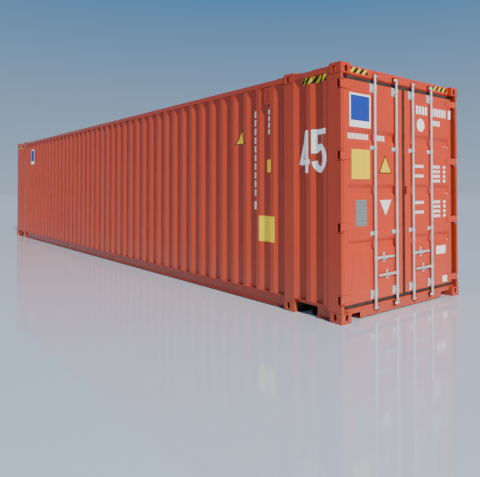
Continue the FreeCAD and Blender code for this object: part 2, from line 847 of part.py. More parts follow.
def gooseneck_tunnel():
    """An inverted trough under the front of the floor: a plate on two side beams."""
    inner, outer = "tunnel_width / 2", "tunnel_width / 2 + tunnel_leg"
    reach = (FLOOR_X[0], TUNNEL_END)
    roof_line = "sill_height - tunnel_plate"
    plate = box("tunnel_plate_piece", reach, (f"-({outer})", outer), (roof_line, "sill_height"))
    beam = box("tunnel_beam", reach, (f"-({outer})", f"-{inner}"), ("ground_gap", roof_line))
    node("gooseneck_tunnel", together("gooseneck_tunnel", [plate, beam, mirrored("tunnel_beam_right", beam, "y")]))


# --- doors ----------------------------------------------------------------------------------

LEAF_X = (end("leaf_setback + leaf_depth"), end("leaf_setback"))
LEAF_Y = (side("post_setback + jamb_width + leaf_side_gap"), "-leaf_centre_gap")
LEAF_Z = ("leaf_low", top("header_drop + leaf_top_gap"))
OPENING_Y = (f"{LEAF_Y[0]} + stile_hinge_width", f"{LEAF_Y[1]} - stile_centre_width")
OPENING_Z = (f"{LEAF_Z[0]} + rail_low_width", f"{LEAF_Z[1]} - rail_high_width")
FACE = end("leaf_setback")


def door_pair(label, shape):
    """A sub-part of the left door and its reflection on the right door."""
    node("left_" + label, shape)
    node("right_" + label, mirrored("right_" + label, shape, "y"))


def door_frames():
    """Two tube stiles and two channel rails, welded into one frame."""
    wall = "frame_wall"
    ring = box("leaf_block", LEAF_X, LEAF_Y, LEAF_Z)
    through = (f"{LEAF_X[0]} - 1", f"{LEAF_X[1]} + 1")
    bore = (f"{LEAF_X[0]} + {wall}", f"{LEAF_X[1]} - {wall}")
    all_up = (f"{LEAF_Z[0]} - 1", f"{LEAF_Z[1]} + 1")
    spaces = [
        box("leaf_opening", through, OPENING_Y, OPENING_Z),
        box("hinge_stile_bore", bore, (f"{LEAF_Y[0]} + {wall}", f"{OPENING_Y[0]} - {wall}"), all_up),
        box("centre_stile_bore", bore, (f"{OPENING_Y[1]} + {wall}", f"{LEAF_Y[1]} - {wall}"), all_up),
        box("low_rail_bore", bore, OPENING_Y, (f"{LEAF_Z[0]} + {wall}", f"{OPENING_Z[0]} + 1")),
        box("high_rail_bore", bore, OPENING_Y, (f"{OPENING_Z[1]} - 1", f"{LEAF_Z[1]} - {wall}")),
    ]
    door_pair("door_frame", cut("door_frame", ring, spaces))


def pan(name, level, grow):
    """A shallow tapered pan pressed into the door sheet; grow is the sheet's thickness outside."""
    block = doc.addObject("Part::Wedge", name)
    block.Placement = FreeCAD.Placement(FreeCAD.Vector(), FreeCAD.Rotation(NORMALS["z"], 90))
    block.setExpression("Placement.Base.x", bound(f"{FACE} - {grow}"))
    half = "pan_height / 2"
    sizes = {
        "Ymin": "0",
        "Ymax": "pan_depth",
        "Xmin": f"{OPENING_Y[0]} + sheet_thickness - {grow}",
        "Xmax": f"{OPENING_Y[1]} - sheet_thickness + {grow}",
        "X2min": f"{OPENING_Y[0]} + sheet_thickness + pan_end_slope - {grow}",
        "X2max": f"{OPENING_Y[1]} - sheet_thickness - pan_end_slope + {grow}",
        "Zmin": f"{level} - {half} - {grow}",
        "Zmax": f"{level} + {half} + {grow}",
        "Z2min": f"{level} - {half} + pan_slope - {grow}",
        "Z2max": f"{level} + {half} - pan_slope + {grow}",
    }
    for name_of_size, formula in sizes.items():
        block.setExpression(name_of_size, bound(formula))
    return block


def pan_levels():
    """Centres of the pans: as many as the frame's opening has room for above the lowest."""
    room = size(f"{OPENING_Z[1]} - pan_height / 2 - pan_low_centre")
    return [f"pan_low_centre + {i} * pan_pitch" for i in range(1 + int(room / size("pan_pitch")))]


def door_panels():
    """A sheet in each frame, stiffened by pans pressed inwards."""
    levels = pan_levels()
    flat = box("door_sheet", (f"{FACE} - sheet_thickness", FACE), OPENING_Y, OPENING_Z)
    backs = [pan(f"pan_back_{i}", level, "sheet_thickness") for i, level in enumerate(levels, start=1)]
    fronts = [pan(f"pan_front_{i}", level, "0") for i, level in enumerate(levels, start=1)]
    whole = fuse("door_sheet_backed", [flat] + backs)
    door_pair("door_panel", cut("door_panel", whole, fronts))


def door_gaskets():
    """A rubber seal round each leaf."""
    reach = (end("leaf_setback + seal_setback + seal_depth"), end("leaf_setback + seal_setback"))
    across = (side("post_setback + jamb_width + seal_gap"), "-seal_centre_gap")
    up = ("sill_height + seal_gap", top("header_drop + seal_gap"))
    strip = box("gasket_block", reach, across, up)
    space = box("gasket_space", (f"{reach[0]} - 1", f"{reach[1]} + 1"), LEAF_Y, LEAF_Z)
    door_pair("door_gasket", cut("door_gasket", strip, [space]))


PIN = (end("pin_from_end"), side("pin_from_side"))


def hinge_blade(number, level):
    """A strap on the leaf's face, bent out to a knuckle round the pin."""
    low, high = f"{level} - blade_height / 2", f"{level} + blade_height / 2"
    inner = "leaf_setback"
    outer = "leaf_setback - blade_thickness"
    edge = "pin_from_side + knuckle_radius"
    bend = "post_setback + jamb_width + knuckle_radius"
    tip = "post_setback + jamb_width + leaf_side_gap + blade_reach"
    walk = [
        ("pin_from_end + knuckle_radius", "pin_from_side"),
        (inner, bend),
        (inner, tip),
        (outer, tip),
        (outer, f"{bend} + blade_thickness"),
        ("pin_from_end - blade_thickness", edge),
    ]
    corners = [(end(depth), side(inward)) for depth, inward in walk]
    corners.append(PIN)
    strap = section(f"blade_strap_{number}", "z", [corners], low, high)
    knuckle = cylinder(f"knuckle_{number}", "z", "knuckle_radius", PIN, low, high)
    joined = fuse(f"blade_joined_{number}", [strap, knuckle])
    bore = cylinder(f"bore_{number}", "z", "pin_radius + pin_clearance", PIN, f"{low} - 1", f"{high} + 1")
    return cut(f"blade_{number}", joined, [bore])


def hinge_lug(number, level):
    """Two lugs welded in the post's pocket with the pin between them."""
    half = "blade_height / 2 + blade_clearance"
    reach = (end("pocket_depth"), end("post_setback"))
    across = (side("post_setback"), side("post_setback + jamb_width"))
    spans = [
        (f"{level} - {half} - lug_thickness", f"{level} - ({half})"),
        (f"{level} + {half}", f"{level} + {half} + lug_thickness"),
    ]
    lugs = [box(f"lug_{number}_{i}", reach, across, span) for i, span in enumerate(spans, start=1)]
    pin = cylinder(f"hinge_pin_{number}", "z", "pin_radius", PIN, f"{level} - ({half})", f"{level} + {half}")
    return fuse(f"lug_pair_{number}", lugs + [pin])


def hinges():
    levels = list(enumerate(hinge_levels(), start=1))
    door_pair("door_hinges", together("hinge_blades", [hinge_blade(*item) for item in levels]))
    both_sides("hinge_lugs", together("lugs", [hinge_lug(*item) for item in levels]))


# --- locking gear ---------------------------------------------------------------------------

ROD_X = end("rod_from_end")
RODS = [
    # number, Y of the rod, side that its handle points to, level of its handle
    (1, "-rod_outer_place", "+", "handle_high"),
    (2, "-rod_inner_place", "-", "handle_low"),
    (3, "rod_inner_place", "+", "handle_high"),
    (4, "rod_outer_place", "-", "handle_low"),
]
CAM_LEVELS = ("cam_low", top("cam_high_drop"))


def ahead(place, sign, near, far):
    """Low and high Y from near to far of a rod, on the side that its handle points to."""
    if sign == "+":
        return (f"{place} + ({near})", f"{place} + ({far})")
    return (f"{place} - ({far})", f"{place} - ({near})")


def around(centre, thickness):
    """Low and high formulas a thickness apart about a centre."""
    return (f"{centre} - ({thickness}) / 2", f"{centre} + ({thickness}) / 2")


def lock_rod(number, place, sign, level):
    """A bar with a cam at each end, a collar, and a fork that holds the handle's pin."""
    low, high = "cam_low - rod_overhang", f"{CAM_LEVELS[1]} + cam_height"
    pieces = [cylinder(f"rod_{number}", "z", "rod_radius", (ROD_X, place), low, high)]
    for i, cam_level in enumerate(CAM_LEVELS, start=1):
        reach = around(ROD_X, "cam_thickness")
        across = ahead(place, sign, "0", "cam_reach")
        pieces.append(box(f"cam_{number}_{i}", reach, across, (cam_level, f"{cam_level} + cam_height")))
    pieces.append(cylinder(f"collar_{number}", "z", "hub_radius", (ROD_X, place), *around(level, "hub_height")))
    inner = "handle_thickness / 2 + clevis_gap"
    outer = f"{inner} + clevis_wall"
    across = ahead(place, sign, "0", "handle_pin_reach + clevis_overhang")
    for i, reach in enumerate(
        [(f"{ROD_X} + {inner}", f"{ROD_X} + {outer}"), (f"{ROD_X} - ({outer})", f"{ROD_X} - ({inner})")], start=1
    ):
        pieces.append(box(f"fork_{number}_{i}", reach, across, around(level, "clevis_height")))
    spot = (f"{place} {sign} handle_pin_reach", level)
    ends = (f"{ROD_X} - ({outer})", f"{ROD_X} + {outer}")
    pieces.append(cylinder(f"handle_pin_{number}", "x", "handle_pin_radius", spot, *ends))
    node(f"lock_rod_{number}", fuse(f"lock_rod_{number}", pieces))


def handle(number, place, sign, level):
    """A flat bar that tapers to its grip and swings up on the fork's pin."""
    root, grip = "handle_root_height / 2", "handle_grip_height / 2"
    near = "handle_pin_reach - handle_root_gap"
    middle = "retainer_reach + retainer_width"
    walk = [
        (near, f"-({root}) / 2"),
        (f"{near} + handle_root_taper", f"-({root})"),
        (middle, f"-({root})"),
        ("handle_reach", f"-({grip})"),
        ("handle_reach", grip),
        (middle, root),
        (f"{near} + handle_root_taper", root),
        (near, f"{root} / 2"),
    ]
    corners = [(f"{place} {sign} ({along})", f"{level} + ({up})") for along, up in walk]
    bar = section(f"handle_bar_{number}", "x", [corners], *around(ROD_X, "handle_thickness"))
    spot = (f"{place} {sign} handle_pin_reach", level)
    ends = around(ROD_X, "handle_thickness + 2")
    bore = cylinder(f"handle_bore_{number}", "x", "handle_pin_radius + pin_clearance", spot, *ends)
    node(f"handle_{number}", cut(f"handle_{number}", bar, [bore]))


def bracket(name, place, level, height):
    """A plate on the leaf with a strap round the rod."""
    base = (FACE, f"{FACE} + bracket_base")
    plate = box(name + "_plate", base, around(place, "bracket_width"), around(level, height))
    radius = "rod_radius + rod_clearance + strap_wall"
    up = around(level, "strap_height")
    strap = cylinder(name + "_strap", "z", radius, (ROD_X, place), *up)
    legs = box(name + "_legs", (FACE, ROD_X), around(place, f"2 * ({radius})"), up)
    joined = fuse(name + "_joined", [plate, strap, legs])
    past = (f"{up[0]} - 1", f"{up[1]} + 1")
    bore = cylinder(name + "_bore", "z", "rod_radius + rod_clearance", (ROD_X, place), *past)
    return cut(name, joined, [bore])


def rod_brackets():
    """Four brackets on each rod, large at its ends and small between."""
    levels = [
        ("bracket_low", "bracket_height"),
        ("bracket_middle_low", "bracket_small_height"),
        ("bracket_middle_high", "bracket_small_height"),
        (f"{LEAF_Z[1]} - bracket_high_drop", "bracket_height"),
    ]
    made = [
        bracket(f"bracket_{rod}_{i}", place, level, height)
        for rod, place, _, _ in RODS[:2]
        for i, (level, height) in enumerate(levels, start=1)
    ]
    door_pair("rod_brackets", together("rod_brackets", made))


def retainer(number, place, sign, level):
    """A cross-piece on the leaf with a shelf that the shut handle lies on."""
    across = ahead(place, sign, "retainer_reach - retainer_width / 2", "retainer_reach + retainer_width / 2")
    back = box(f"retainer_back_{number}", (FACE, f"{FACE} + retainer_base"), across, around(level, "retainer_height"))
    rest = f"{level} - handle_root_height / 2 - shelf_gap"
    shelf = box(f"shelf_{number}", (FACE, end("shelf_front")), across, (f"{rest} - shelf_thickness", rest))
    return fuse(f"retainer_{number}", [back, shelf])


def keeper(number, place, sign, level, face, name):
    """A base plate with a cheek above and one below the cam, open to the front.

    The base is relieved round the rod, which matters only to a thicker rod.
    """
    across = ahead(place, sign, "rod_radius + keeper_side_gap", "keeper_reach")
    low = (f"{level} - keeper_gap - keeper_wall", f"{level} - keeper_gap")
    high = (f"{level} + cam_height + keeper_gap", f"{level} + cam_height + keeper_gap + keeper_wall")
    wide = ahead(place, sign, "-(rod_radius + keeper_side_gap)", "keeper_reach")
    pieces = [
        box(f"{name}_base_{number}", (face, f"{face} + keeper_base"), wide, (low[0], high[1])),
        box(f"{name}_low_{number}", (face, end("keeper_front")), across, low),
        box(f"{name}_high_{number}", (face, end("keeper_front")), across, high),
    ]
    joined = fuse(f"{name}_joined_{number}", pieces)
    radius = "rod_radius + keeper_rod_gap"
    past = (f"{low[0]} - 1", f"{high[1]} + 1")
    relief = cylinder(f"{name}_relief_{number}", "z", radius, (ROD_X, place), *past)
    return cut(f"{name}_{number}", joined, [relief])


def locking_gear():
    keepers = []
    for number, place, sign, level in RODS:
        lock_rod(number, place, sign, level)
        handle(number, place, sign, level)
        keepers.append(keeper(number, place, sign, CAM_LEVELS[0], end("sill_setback"), "low_keeper"))
        keepers.append(keeper(number, place, sign, CAM_LEVELS[1], end("header_setback"), "high_keeper"))
    rod_brackets()
    node("left_handle_retainers", together("left_retainers", [retainer(*item) for item in RODS[:2]]))
    node("right_handle_retainers", together("right_retainers", [retainer(*item) for item in RODS[2:]]))
    node("cam_keepers", together("cam_keepers", keepers))


def door_fittings():
    """A data plate on the left door and a stop block on the right one."""
    across = ("-plate_from_centre - plate_width", "-plate_from_centre")
    reach = (FACE, f"{FACE} + plate_thickness")
    node("data_plate", box("data_plate", reach, across, ("plate_low", "plate_low + plate_height")))
    across = ("block_from_centre", "block_from_centre + block_width")
    reach = (FACE, f"{FACE} + block_depth")
    node("door_stop_block", box("door_stop_block", reach, across, ("block_low", "block_low + block_height")))


# --- the whole container --------------------------------------------------------------------


def build():
    castings()
    rear_posts()
    box_posts()
    top_side_rails()
    bottom_side_rails()
    door_header()
    door_sill()
    front_rails()
    side_walls()
    front_wall()
    roof()
    roof_plates()
    roof_bows()
    ventilators()
    floor_board()
    underframe()
    gooseneck_tunnel()
    door_frames()
    door_panels()
    door_gaskets()
    hinges()
    locking_gear()
    door_fittings()


def check_and_write():
    """Stop on any failed object or bad shape, then write one file for each sub-part."""
    doc.recompute()
    for item in doc.Objects:
        if {"Invalid", "Error"} & set(item.State):
            raise RuntimeError(f"{item.Name} failed: {item.State}")
    for item in nodes:
        if item.Shape.isNull() or not item.Shape.isValid() or not item.Shape.Solids:
            raise RuntimeError(f"{item.Label} has no valid shape")
    os.makedirs("parts", exist_ok=True)
    for item in nodes:
        item.Shape.exportStep(f"parts/{item.Label}.step")
        print(item.Label, len(item.Shape.Solids), "solids", round(item.Shape.Volume / 1e9, 6), "m3")


build()
check_and_write()
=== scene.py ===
"""Looks of a 45 foot high-cube freight container, laid out as an add-on and run as a script.

Everything is in metres: X runs along the container with the doors at +X, Y runs across it and
Z is up. Pieces take their places from the frame's own boxes, vertices and joints.
"""

import json
import math

import bmesh
import bpy
import numpy as np
from bpy.props import FloatProperty, FloatVectorProperty, IntProperty, PointerProperty
from mathutils import Matrix, Vector


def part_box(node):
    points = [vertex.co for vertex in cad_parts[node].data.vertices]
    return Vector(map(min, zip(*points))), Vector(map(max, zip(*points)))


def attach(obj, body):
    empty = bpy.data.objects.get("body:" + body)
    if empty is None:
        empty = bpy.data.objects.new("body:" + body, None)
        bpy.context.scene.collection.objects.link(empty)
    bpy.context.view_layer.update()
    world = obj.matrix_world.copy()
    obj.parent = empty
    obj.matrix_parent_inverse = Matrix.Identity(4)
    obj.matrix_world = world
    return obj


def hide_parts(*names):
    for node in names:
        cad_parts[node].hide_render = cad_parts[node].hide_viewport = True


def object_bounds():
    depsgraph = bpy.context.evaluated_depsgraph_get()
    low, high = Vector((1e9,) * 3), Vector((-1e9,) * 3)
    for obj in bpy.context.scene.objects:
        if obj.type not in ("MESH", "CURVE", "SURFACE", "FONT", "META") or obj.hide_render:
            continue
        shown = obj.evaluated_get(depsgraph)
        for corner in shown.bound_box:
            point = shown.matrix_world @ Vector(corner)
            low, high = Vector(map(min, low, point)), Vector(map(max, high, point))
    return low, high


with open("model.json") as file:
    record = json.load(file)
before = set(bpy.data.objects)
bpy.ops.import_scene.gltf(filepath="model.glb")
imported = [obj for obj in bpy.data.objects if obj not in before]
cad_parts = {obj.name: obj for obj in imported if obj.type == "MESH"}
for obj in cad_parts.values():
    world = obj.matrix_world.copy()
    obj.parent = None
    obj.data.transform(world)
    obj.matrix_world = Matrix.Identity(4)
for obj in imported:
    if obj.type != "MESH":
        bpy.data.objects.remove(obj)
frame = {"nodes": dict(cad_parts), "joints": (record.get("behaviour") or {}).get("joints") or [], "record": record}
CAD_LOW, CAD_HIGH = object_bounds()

bl_info = {
    "name": "Freight container",
    "version": (1, 0, 0),
    "blender": (4, 5, 0),
    "location": "3D View > Sidebar > Container",
    "description": "Pressed walls, roof, doors, locking gear and finishes of a steel freight container",
    "category": "Add Mesh",
}

AXIS = {"x": 0, "y": 1, "z": 2}
CASTING_LENGTH = 0.178
CASTING_WIDTH = 0.162
SHEET = 0.002
FULL_TURN = 2 * math.pi
DOORS = {"left": -1, "right": 1}
RODS = (1, 2, 3, 4)
DOOR_OF_ROD = {1: "left", 2: "left", 3: "right", 4: "right"}


def linear(code):
    """A colour written as sRGB hex, as the linear numbers that a shader takes."""
    srgb = np.array([int(code[i:i + 2], 16) for i in (1, 3, 5)]) / 255
    return np.where(srgb <= 0.04045, srgb / 12.92, ((srgb + 0.055) / 1.055) ** 2.4).tolist()


def mm(millimetres):
    return millimetres / 1000


# --- sizes and colours that a user would change ---------------------------------------------


def length_setting(name, description, default, low, high):
    """A length in metres between two limits."""
    return FloatProperty(
        name=name, description=description, default=default, min=low, max=high,
        subtype="DISTANCE", unit="LENGTH",
    )


def colour_setting(name, description, code):
    """A colour given as sRGB hex."""
    return FloatVectorProperty(
        name=name, description=description, default=linear(code), size=3, min=0, max=1,
        subtype="COLOR",
    )


def angle_setting(name, description, degrees):
    """An angle given in degrees."""
    return FloatProperty(
        name=name, description=description, default=math.radians(degrees),
        subtype="ANGLE", unit="ROTATION",
    )


class ContainerSizes(bpy.types.PropertyGroup):
    """Sizes of the details that the frame leaves to the looks."""

    wall_bend: length_setting(
        "Wall bend radius", "Radius of the bends in the side and front walls", 0.022, 0.002, 0.05,
    )
    roof_bend: length_setting(
        "Roof bend radius", "Radius of the bends in the roof's folds", 0.016, 0.002, 0.05,
    )
    roof_margin: length_setting(
        "Roof margin", "Flat strip between the end of a roof fold and the rail", 0.034, 0.0, 0.2,
    )
    pan_depth: length_setting(
        "Pan depth", "Depth of the pans pressed into the door sheets", 0.036, 0.0, 0.04,
    )
    weld_size: length_setting(
        "Weld size", "Leg of the fillet welds along the sheets' edges", 0.005, 0.001, 0.01,
    )
    film_thickness: length_setting(
        "Film thickness", "Thickness of the coloured films on walls and doors", 0.0006, 0.0002, 0.002,
    )
    around: IntProperty(
        name="Steps around", description="Points around each turned piece",
        default=32, min=8, max=96,
    )


class ContainerColours(bpy.types.PropertyGroup):
    """Colours of the container's finishes."""

    shell: colour_setting("Shell enamel", "Enamel on walls, posts, rails and roof", "#C2411F")
    doors: colour_setting("Door enamel", "Enamel on the doors, the header and the sill", "#D2421E")
    keepers: colour_setting(
        "Keeper enamel", "Enamel on the cam keepers and the stop block", "#9C3422",
    )
    zinc: colour_setting("Zinc", "Hot-dipped zinc on rods, handles and brackets", "#E9EBEA")
    rubber: colour_setting("Door seal rubber", "Rubber round the doors", "#3B3733")
    yellow: colour_setting("Yellow film", "Yellow films on doors and side", "#EDC900")
    blue: colour_setting("Blue film", "Blue centre of the bordered panels", "#2340A8")
    floor: colour_setting("Studio floor", "Polished pale floor", "#E4F0FF")
    air: colour_setting("Studio air", "Soft light from the sides", "#C3DAF2")
    overhead: colour_setting("Studio overhead", "Soft light from above", "#67A2DA")


class ContainerStudio(bpy.types.PropertyGroup):
    """The view and the lamps."""

    eye: FloatVectorProperty(
        name="Eye", description="Place of the camera",
        subtype="TRANSLATION", unit="LENGTH", size=3, default=(10.530, -5.338, 1.507),
    )
    heading: angle_setting("Heading", "Direction of view, turned from +X towards +Y", 139.96)
    tilt: angle_setting("Tilt", "Angle of view above the horizon", 1.078)
    roll: angle_setting("Roll", "Turn of the camera about its line of sight", -0.086)
    lens: FloatProperty(
        name="Lens", description="Focal length on a 36 mm wide sensor, in millimetres",
        default=37.473, min=10, max=200,
    )
    shift_x: FloatProperty(
        name="Shift across", description="Sideways shift of the view", default=-0.0601,
    )
    shift_y: FloatProperty(
        name="Shift up", description="Upward shift of the view", default=-0.1264,
    )
    sun_from: FloatVectorProperty(
        name="Key lamp side", description="Direction towards the key lamp",
        subtype="DIRECTION", size=3, default=(0.80, -0.17, 0.57),
    )
    sun_power: FloatProperty(
        name="Key power", description="Strength of the key lamp", default=4.3, min=0,
    )
    air_power: FloatProperty(
        name="Air power", description="Strength of the light from all round", default=0.68, min=0,
    )


def sizes():
    return bpy.context.scene.container_sizes


def colours():
    return bpy.context.scene.container_colours


def studio():
    return bpy.context.scene.container_studio


# --- finishes -------------------------------------------------------------------------------


def add(tree, kind, links=None, **settings):
    """Adds one shader node with its settings, and joins or fills its sockets.

    links maps a socket's name or number to a node, a (node, output) pair or a plain value.
    """
    node = tree.nodes.new("ShaderNode" + kind)
    for name, value in settings.items():
        setattr(node, name, value)
    for socket, source in (links or {}).items():
        if isinstance(source, bpy.types.Node):
            source = (source, 0)
        if isinstance(source, tuple) and isinstance(source[0], bpy.types.Node):
            tree.links.new(source[0].outputs[source[1]], node.inputs[socket])
        else:
            node.inputs[socket].default_value = source
    return node


def rgba(colour, gain=1.0):
    return (*[min(1.0, part * gain) for part in colour], 1.0)


def cells(millimetres):
    """A noise or cell scale, per metre, whose pattern repeats about every so many millimetres."""
    return 1000 / millimetres


def noise(tree, place, scale, detail, roughness=0.5):
    return add(
        tree, "TexNoise",
        {"Vector": place, "Scale": scale, "Detail": detail, "Roughness": roughness},
    )


def ramp(tree, value, start, end, low, high):
    """Takes a value from one span to another, and holds it there."""
    return add(tree, "MapRange", {0: value, 1: start, 2: end, 3: low, 4: high})


def mix(tree, share, one, other):
    """The colour at a share of the way from one to the other, as a (node, output) pair."""
    return add(tree, "Mix", {0: share, 6: one, 7: other}, data_type="RGBA"), 2


def relief(tree, height, strength, depth, under=None):
    """Tilts the surface by a height; under is the node whose normal it starts from."""
    links = {"Height": height, "Strength": strength, "Distance": depth}
    if under:
        links["Normal"] = under
    return add(tree, "Bump", links)


def blank(name):
    """An empty material's tree and its object coordinates."""
    material = bpy.data.materials.new(name)
    material.use_nodes = True
    tree = material.node_tree
    tree.nodes.clear()
    return material, tree, (add(tree, "TexCoord"), "Object")


def finish_with(tree, sockets):
    """Ends a tree with its surface shader."""
    shader = add(tree, "BsdfPrincipled", sockets)
    add(tree, "OutputMaterial", {"Surface": shader})


def enamel(name, colour, roughness=0.42, worn_and_highlit=False):
    """Satin alkyd enamel sprayed on primed steel, a few years outdoors.

    It has slow pale fading, thin vertical rain streaks, dust low down, painted shade darkening inner
    corners, a faint ripple of the sheet under it and the texture of spray; with wear set, it also has
    paler edges, partly scuffs that lifting gear leaves and partly a painted highlight, and rust freckles.
    """
    material, tree, place = blank(name)
    # Fading in clouds about 2 m across.
    cloud = noise(tree, place, cells(2000), 4.0, 0.6)
    fading = ramp(tree, cloud, 0.35, 0.72, 0.0, 0.30)
    faded = mix(tree, fading, rgba(colour), rgba(colour, 1.25))
    # Rain streaks, about 60 mm apart and over a metre long.
    stretch = add(tree, "Mapping", {"Vector": place, "Scale": (cells(60), cells(60), cells(1300))})
    streak = noise(tree, stretch, 1.0, 5.0, 0.65)
    streaking = ramp(tree, streak, 0.52, 0.80, 0.0, 0.26)
    # Darker tone, used for the rain-streak dirt and for the painted shade in inner corners.
    dirt_and_shade = rgba([0.45 * part + 0.012 for part in colour])
    streaked = mix(tree, streaking, faded, dirt_and_shade)
    # Road dust that thins out over the lowest 0.7 m.
    height = add(tree, "SeparateXYZ", {0: place})
    low = ramp(tree, (height, "Z"), 0.0, 0.7, 1.0, 0.0)
    patch = noise(tree, place, cells(180), 6.0)
    dusting = add(tree, "Math", {0: low, 1: patch}, operation="MULTIPLY")
    thin_dust = add(tree, "Math", {0: dusting, 1: 0.30}, operation="MULTIPLY")
    dusted = mix(tree, thin_dust, streaked, rgba(linear("#8C7866")))
    # Painted shade: the paint turns darker within 40 mm of an inner corner, where less light reaches.
    corner = add(tree, "AmbientOcclusion", {"Distance": mm(40)}, samples=8)
    closed = ramp(tree, (corner, "AO"), 0.25, 0.85, 0.55, 0.0)
    paint = mix(tree, closed, dusted, dirt_and_shade)
    edge = None
    if worn_and_highlit:
        # Paler edges within 5 mm of a corner, broken up every 30 mm: partly scuffed paint, partly a painted
        # highlight.
        edge = add(tree, "Bevel", {"Radius": mm(5)}, samples=6)
        surface = add(tree, "NewGeometry")
        turn = add(tree, "VectorMath", {0: edge, 1: (surface, "Normal")}, operation="DOT_PRODUCT")
        near = ramp(tree, (turn, "Value"), 0.995, 0.90, 0.0, 1.0)
        chips = noise(tree, place, cells(30), 5.0)
        broken = ramp(tree, chips, 0.45, 0.62, 0.0, 1.0)
        rub_and_highlight = add(tree, "Math", {0: near, 1: broken}, operation="MULTIPLY")
        half_rub_and_highlight = add(tree, "Math", {0: rub_and_highlight, 1: 0.55}, operation="MULTIPLY")
        rubbed_and_highlit = mix(tree, half_rub_and_highlight, paint, rgba(colour, 1.9))
        # Rust freckles about 12 mm across.
        freckle = noise(tree, place, cells(24), 7.0, 0.7)
        rusting = ramp(tree, freckle, 0.66, 0.72, 0.0, 0.8)
        paint = mix(tree, rusting, rubbed_and_highlit, rgba(linear("#4F2416")))
    dull = ramp(tree, patch, 0.3, 0.7, roughness - 0.07, roughness + 0.10)
    # Ripple of the sheet about 350 mm long, and spray texture drawn at 9 mm so that it shows.
    ripple = noise(tree, place, cells(350), 1.0)
    wave = relief(tree, ripple, 0.35, mm(6), edge)
    spray = noise(tree, place, cells(9), 2.0)
    skin = relief(tree, spray, 0.10, mm(1), wave)
    finish_with(tree, {
        "Base Color": paint, "Roughness": dull, "IOR": 1.5, "Coat Weight": 0.12,
        "Coat Roughness": 0.25, "Normal": skin,
    })
    return material


def hot_dipped_zinc(name):
    """Hot-dipped zinc on forged steel: pale grey metal whose crystals, about 14 mm, differ in tone.

    Where white oxide has bloomed the surface is no longer bare metal, so it turns duller there.
    """
    material, tree, place = blank(name)
    colour = colours().zinc
    crystal = add(tree, "TexVoronoi", {"Vector": place, "Scale": cells(14)})
    tone = add(tree, "SeparateColor", {0: (crystal, "Color")})
    shade = ramp(tree, tone, 0.0, 1.0, 0.0, 0.35)
    flecked = mix(tree, shade, rgba(colour), rgba(colour, 0.72))
    # Grey white bloom of weathered zinc in patches of 120 mm.
    bloom = noise(tree, place, cells(120), 5.0)
    blooming = ramp(tree, bloom, 0.45, 0.75, 0.0, 0.35)
    aged = mix(tree, blooming, flecked, rgba(linear("#B9BDBE")))
    bare = ramp(tree, bloom, 0.35, 0.70, 0.85, 0.25)
    dull = ramp(tree, tone, 0.0, 1.0, 0.38, 0.55)
    run = noise(tree, place, cells(25), 3.0)
    bump = relief(tree, run, 0.15, mm(1))
    finish_with(tree, {"Base Color": aged, "Metallic": bare, "Roughness": dull, "Normal": bump})
    return material


def seal_rubber(name):
    """Extruded EPDM rubber: dark, dull, with a dusty bloom and fine lines along the extrusion."""
    material, tree, place = blank(name)
    bloom = noise(tree, place, cells(90), 6.0, 0.7)
    dusting = ramp(tree, bloom, 0.40, 0.80, 0.0, 0.45)
    dusty = mix(tree, dusting, rgba(colours().rubber), rgba(linear("#7D766E")))
    lines = noise(tree, place, cells(6), 2.0)
    bump = relief(tree, lines, 0.2, mm(1))
    finish_with(tree, {"Base Color": dusty, "Roughness": 0.72, "IOR": 1.52, "Normal": bump})
    return material


def bitumen_coat(name):
    """Bituminous underseal brushed on steel: nearly black, lumpy and dull, with dried mud on it."""
    material, tree, place = blank(name)
    mud = noise(tree, place, cells(140), 7.0, 0.7)
    caked = ramp(tree, mud, 0.5, 0.7, 0.0, 0.6)
    coat = mix(tree, caked, rgba(linear("#2B211D")), rgba(linear("#6A5546")))
    lumps = noise(tree, place, cells(12), 4.0)
    bump = relief(tree, lumps, 0.5, mm(2))
    finish_with(tree, {"Base Color": coat, "Roughness": 0.8, "Normal": bump})
    return material


def deck_plywood(name):
    """Tropical plywood deck, sealed with floor varnish and scuffed by pallets.

    Boards are 1.16 m across the container's half width and 2.4 m long, with 3 mm joints; the
    grain runs along them in lines about 7 mm apart.
    """
    material, tree, place = blank(name)
    boards = add(
        tree, "TexBrick",
        {
            "Vector": place, "Color1": rgba(linear("#7D4E2C")), "Color2": rgba(linear("#5F381C")),
            "Mortar": rgba(linear("#1E140E")), "Scale": 1.0, "Mortar Size": mm(3), "Brick Width": 2.4,
            "Row Height": 1.16,
        },
    )
    stretch = add(tree, "Mapping", {"Vector": place, "Scale": (cells(300), cells(7), cells(7))})
    grain = add(tree, "TexNoise", {"Vector": stretch, "Scale": 1.0, "Detail": 6.0, "Distortion": 0.6})
    line = ramp(tree, grain, 0.35, 0.7, 0.0, 0.45)
    wood = mix(tree, line, boards, rgba(linear("#4A2C17")))
    scuff = noise(tree, place, cells(500), 8.0)
    dull = ramp(tree, scuff, 0.3, 0.7, 0.42, 0.68)
    bump = relief(tree, grain, 0.15, mm(1))
    finish_with(tree, {"Base Color": wood, "Roughness": dull, "Normal": bump})
    return material


def brushed_aluminium(name):
    """Anodised aluminium plate: brushed level lines 4 mm apart and seven pressed, empty rows."""
    material, tree, place = blank(name)
    stretch = add(tree, "Mapping", {"Vector": place, "Scale": (cells(4), cells(90), cells(4))})
    brush = noise(tree, stretch, 1.0, 3.0)
    height = add(tree, "SeparateXYZ", {0: place})
    # Rows 43 mm high, ruled by a dark line 3 mm wide.
    row = add(tree, "Math", {0: (height, "Z"), 1: mm(43)}, operation="MODULO")
    ruled = add(tree, "Math", {0: row, 1: mm(3)}, operation="LESS_THAN")
    tone = ramp(tree, brush, 0.3, 0.7, 0.0, 1.0)
    metal = mix(tree, tone, rgba(linear("#8F9593")), rgba(linear("#A7ADAB")))
    plate = mix(tree, ruled, metal, rgba(linear("#5C6462")))
    finish_with(tree, {"Base Color": plate, "Metallic": 0.5, "Roughness": 0.45})
    return material


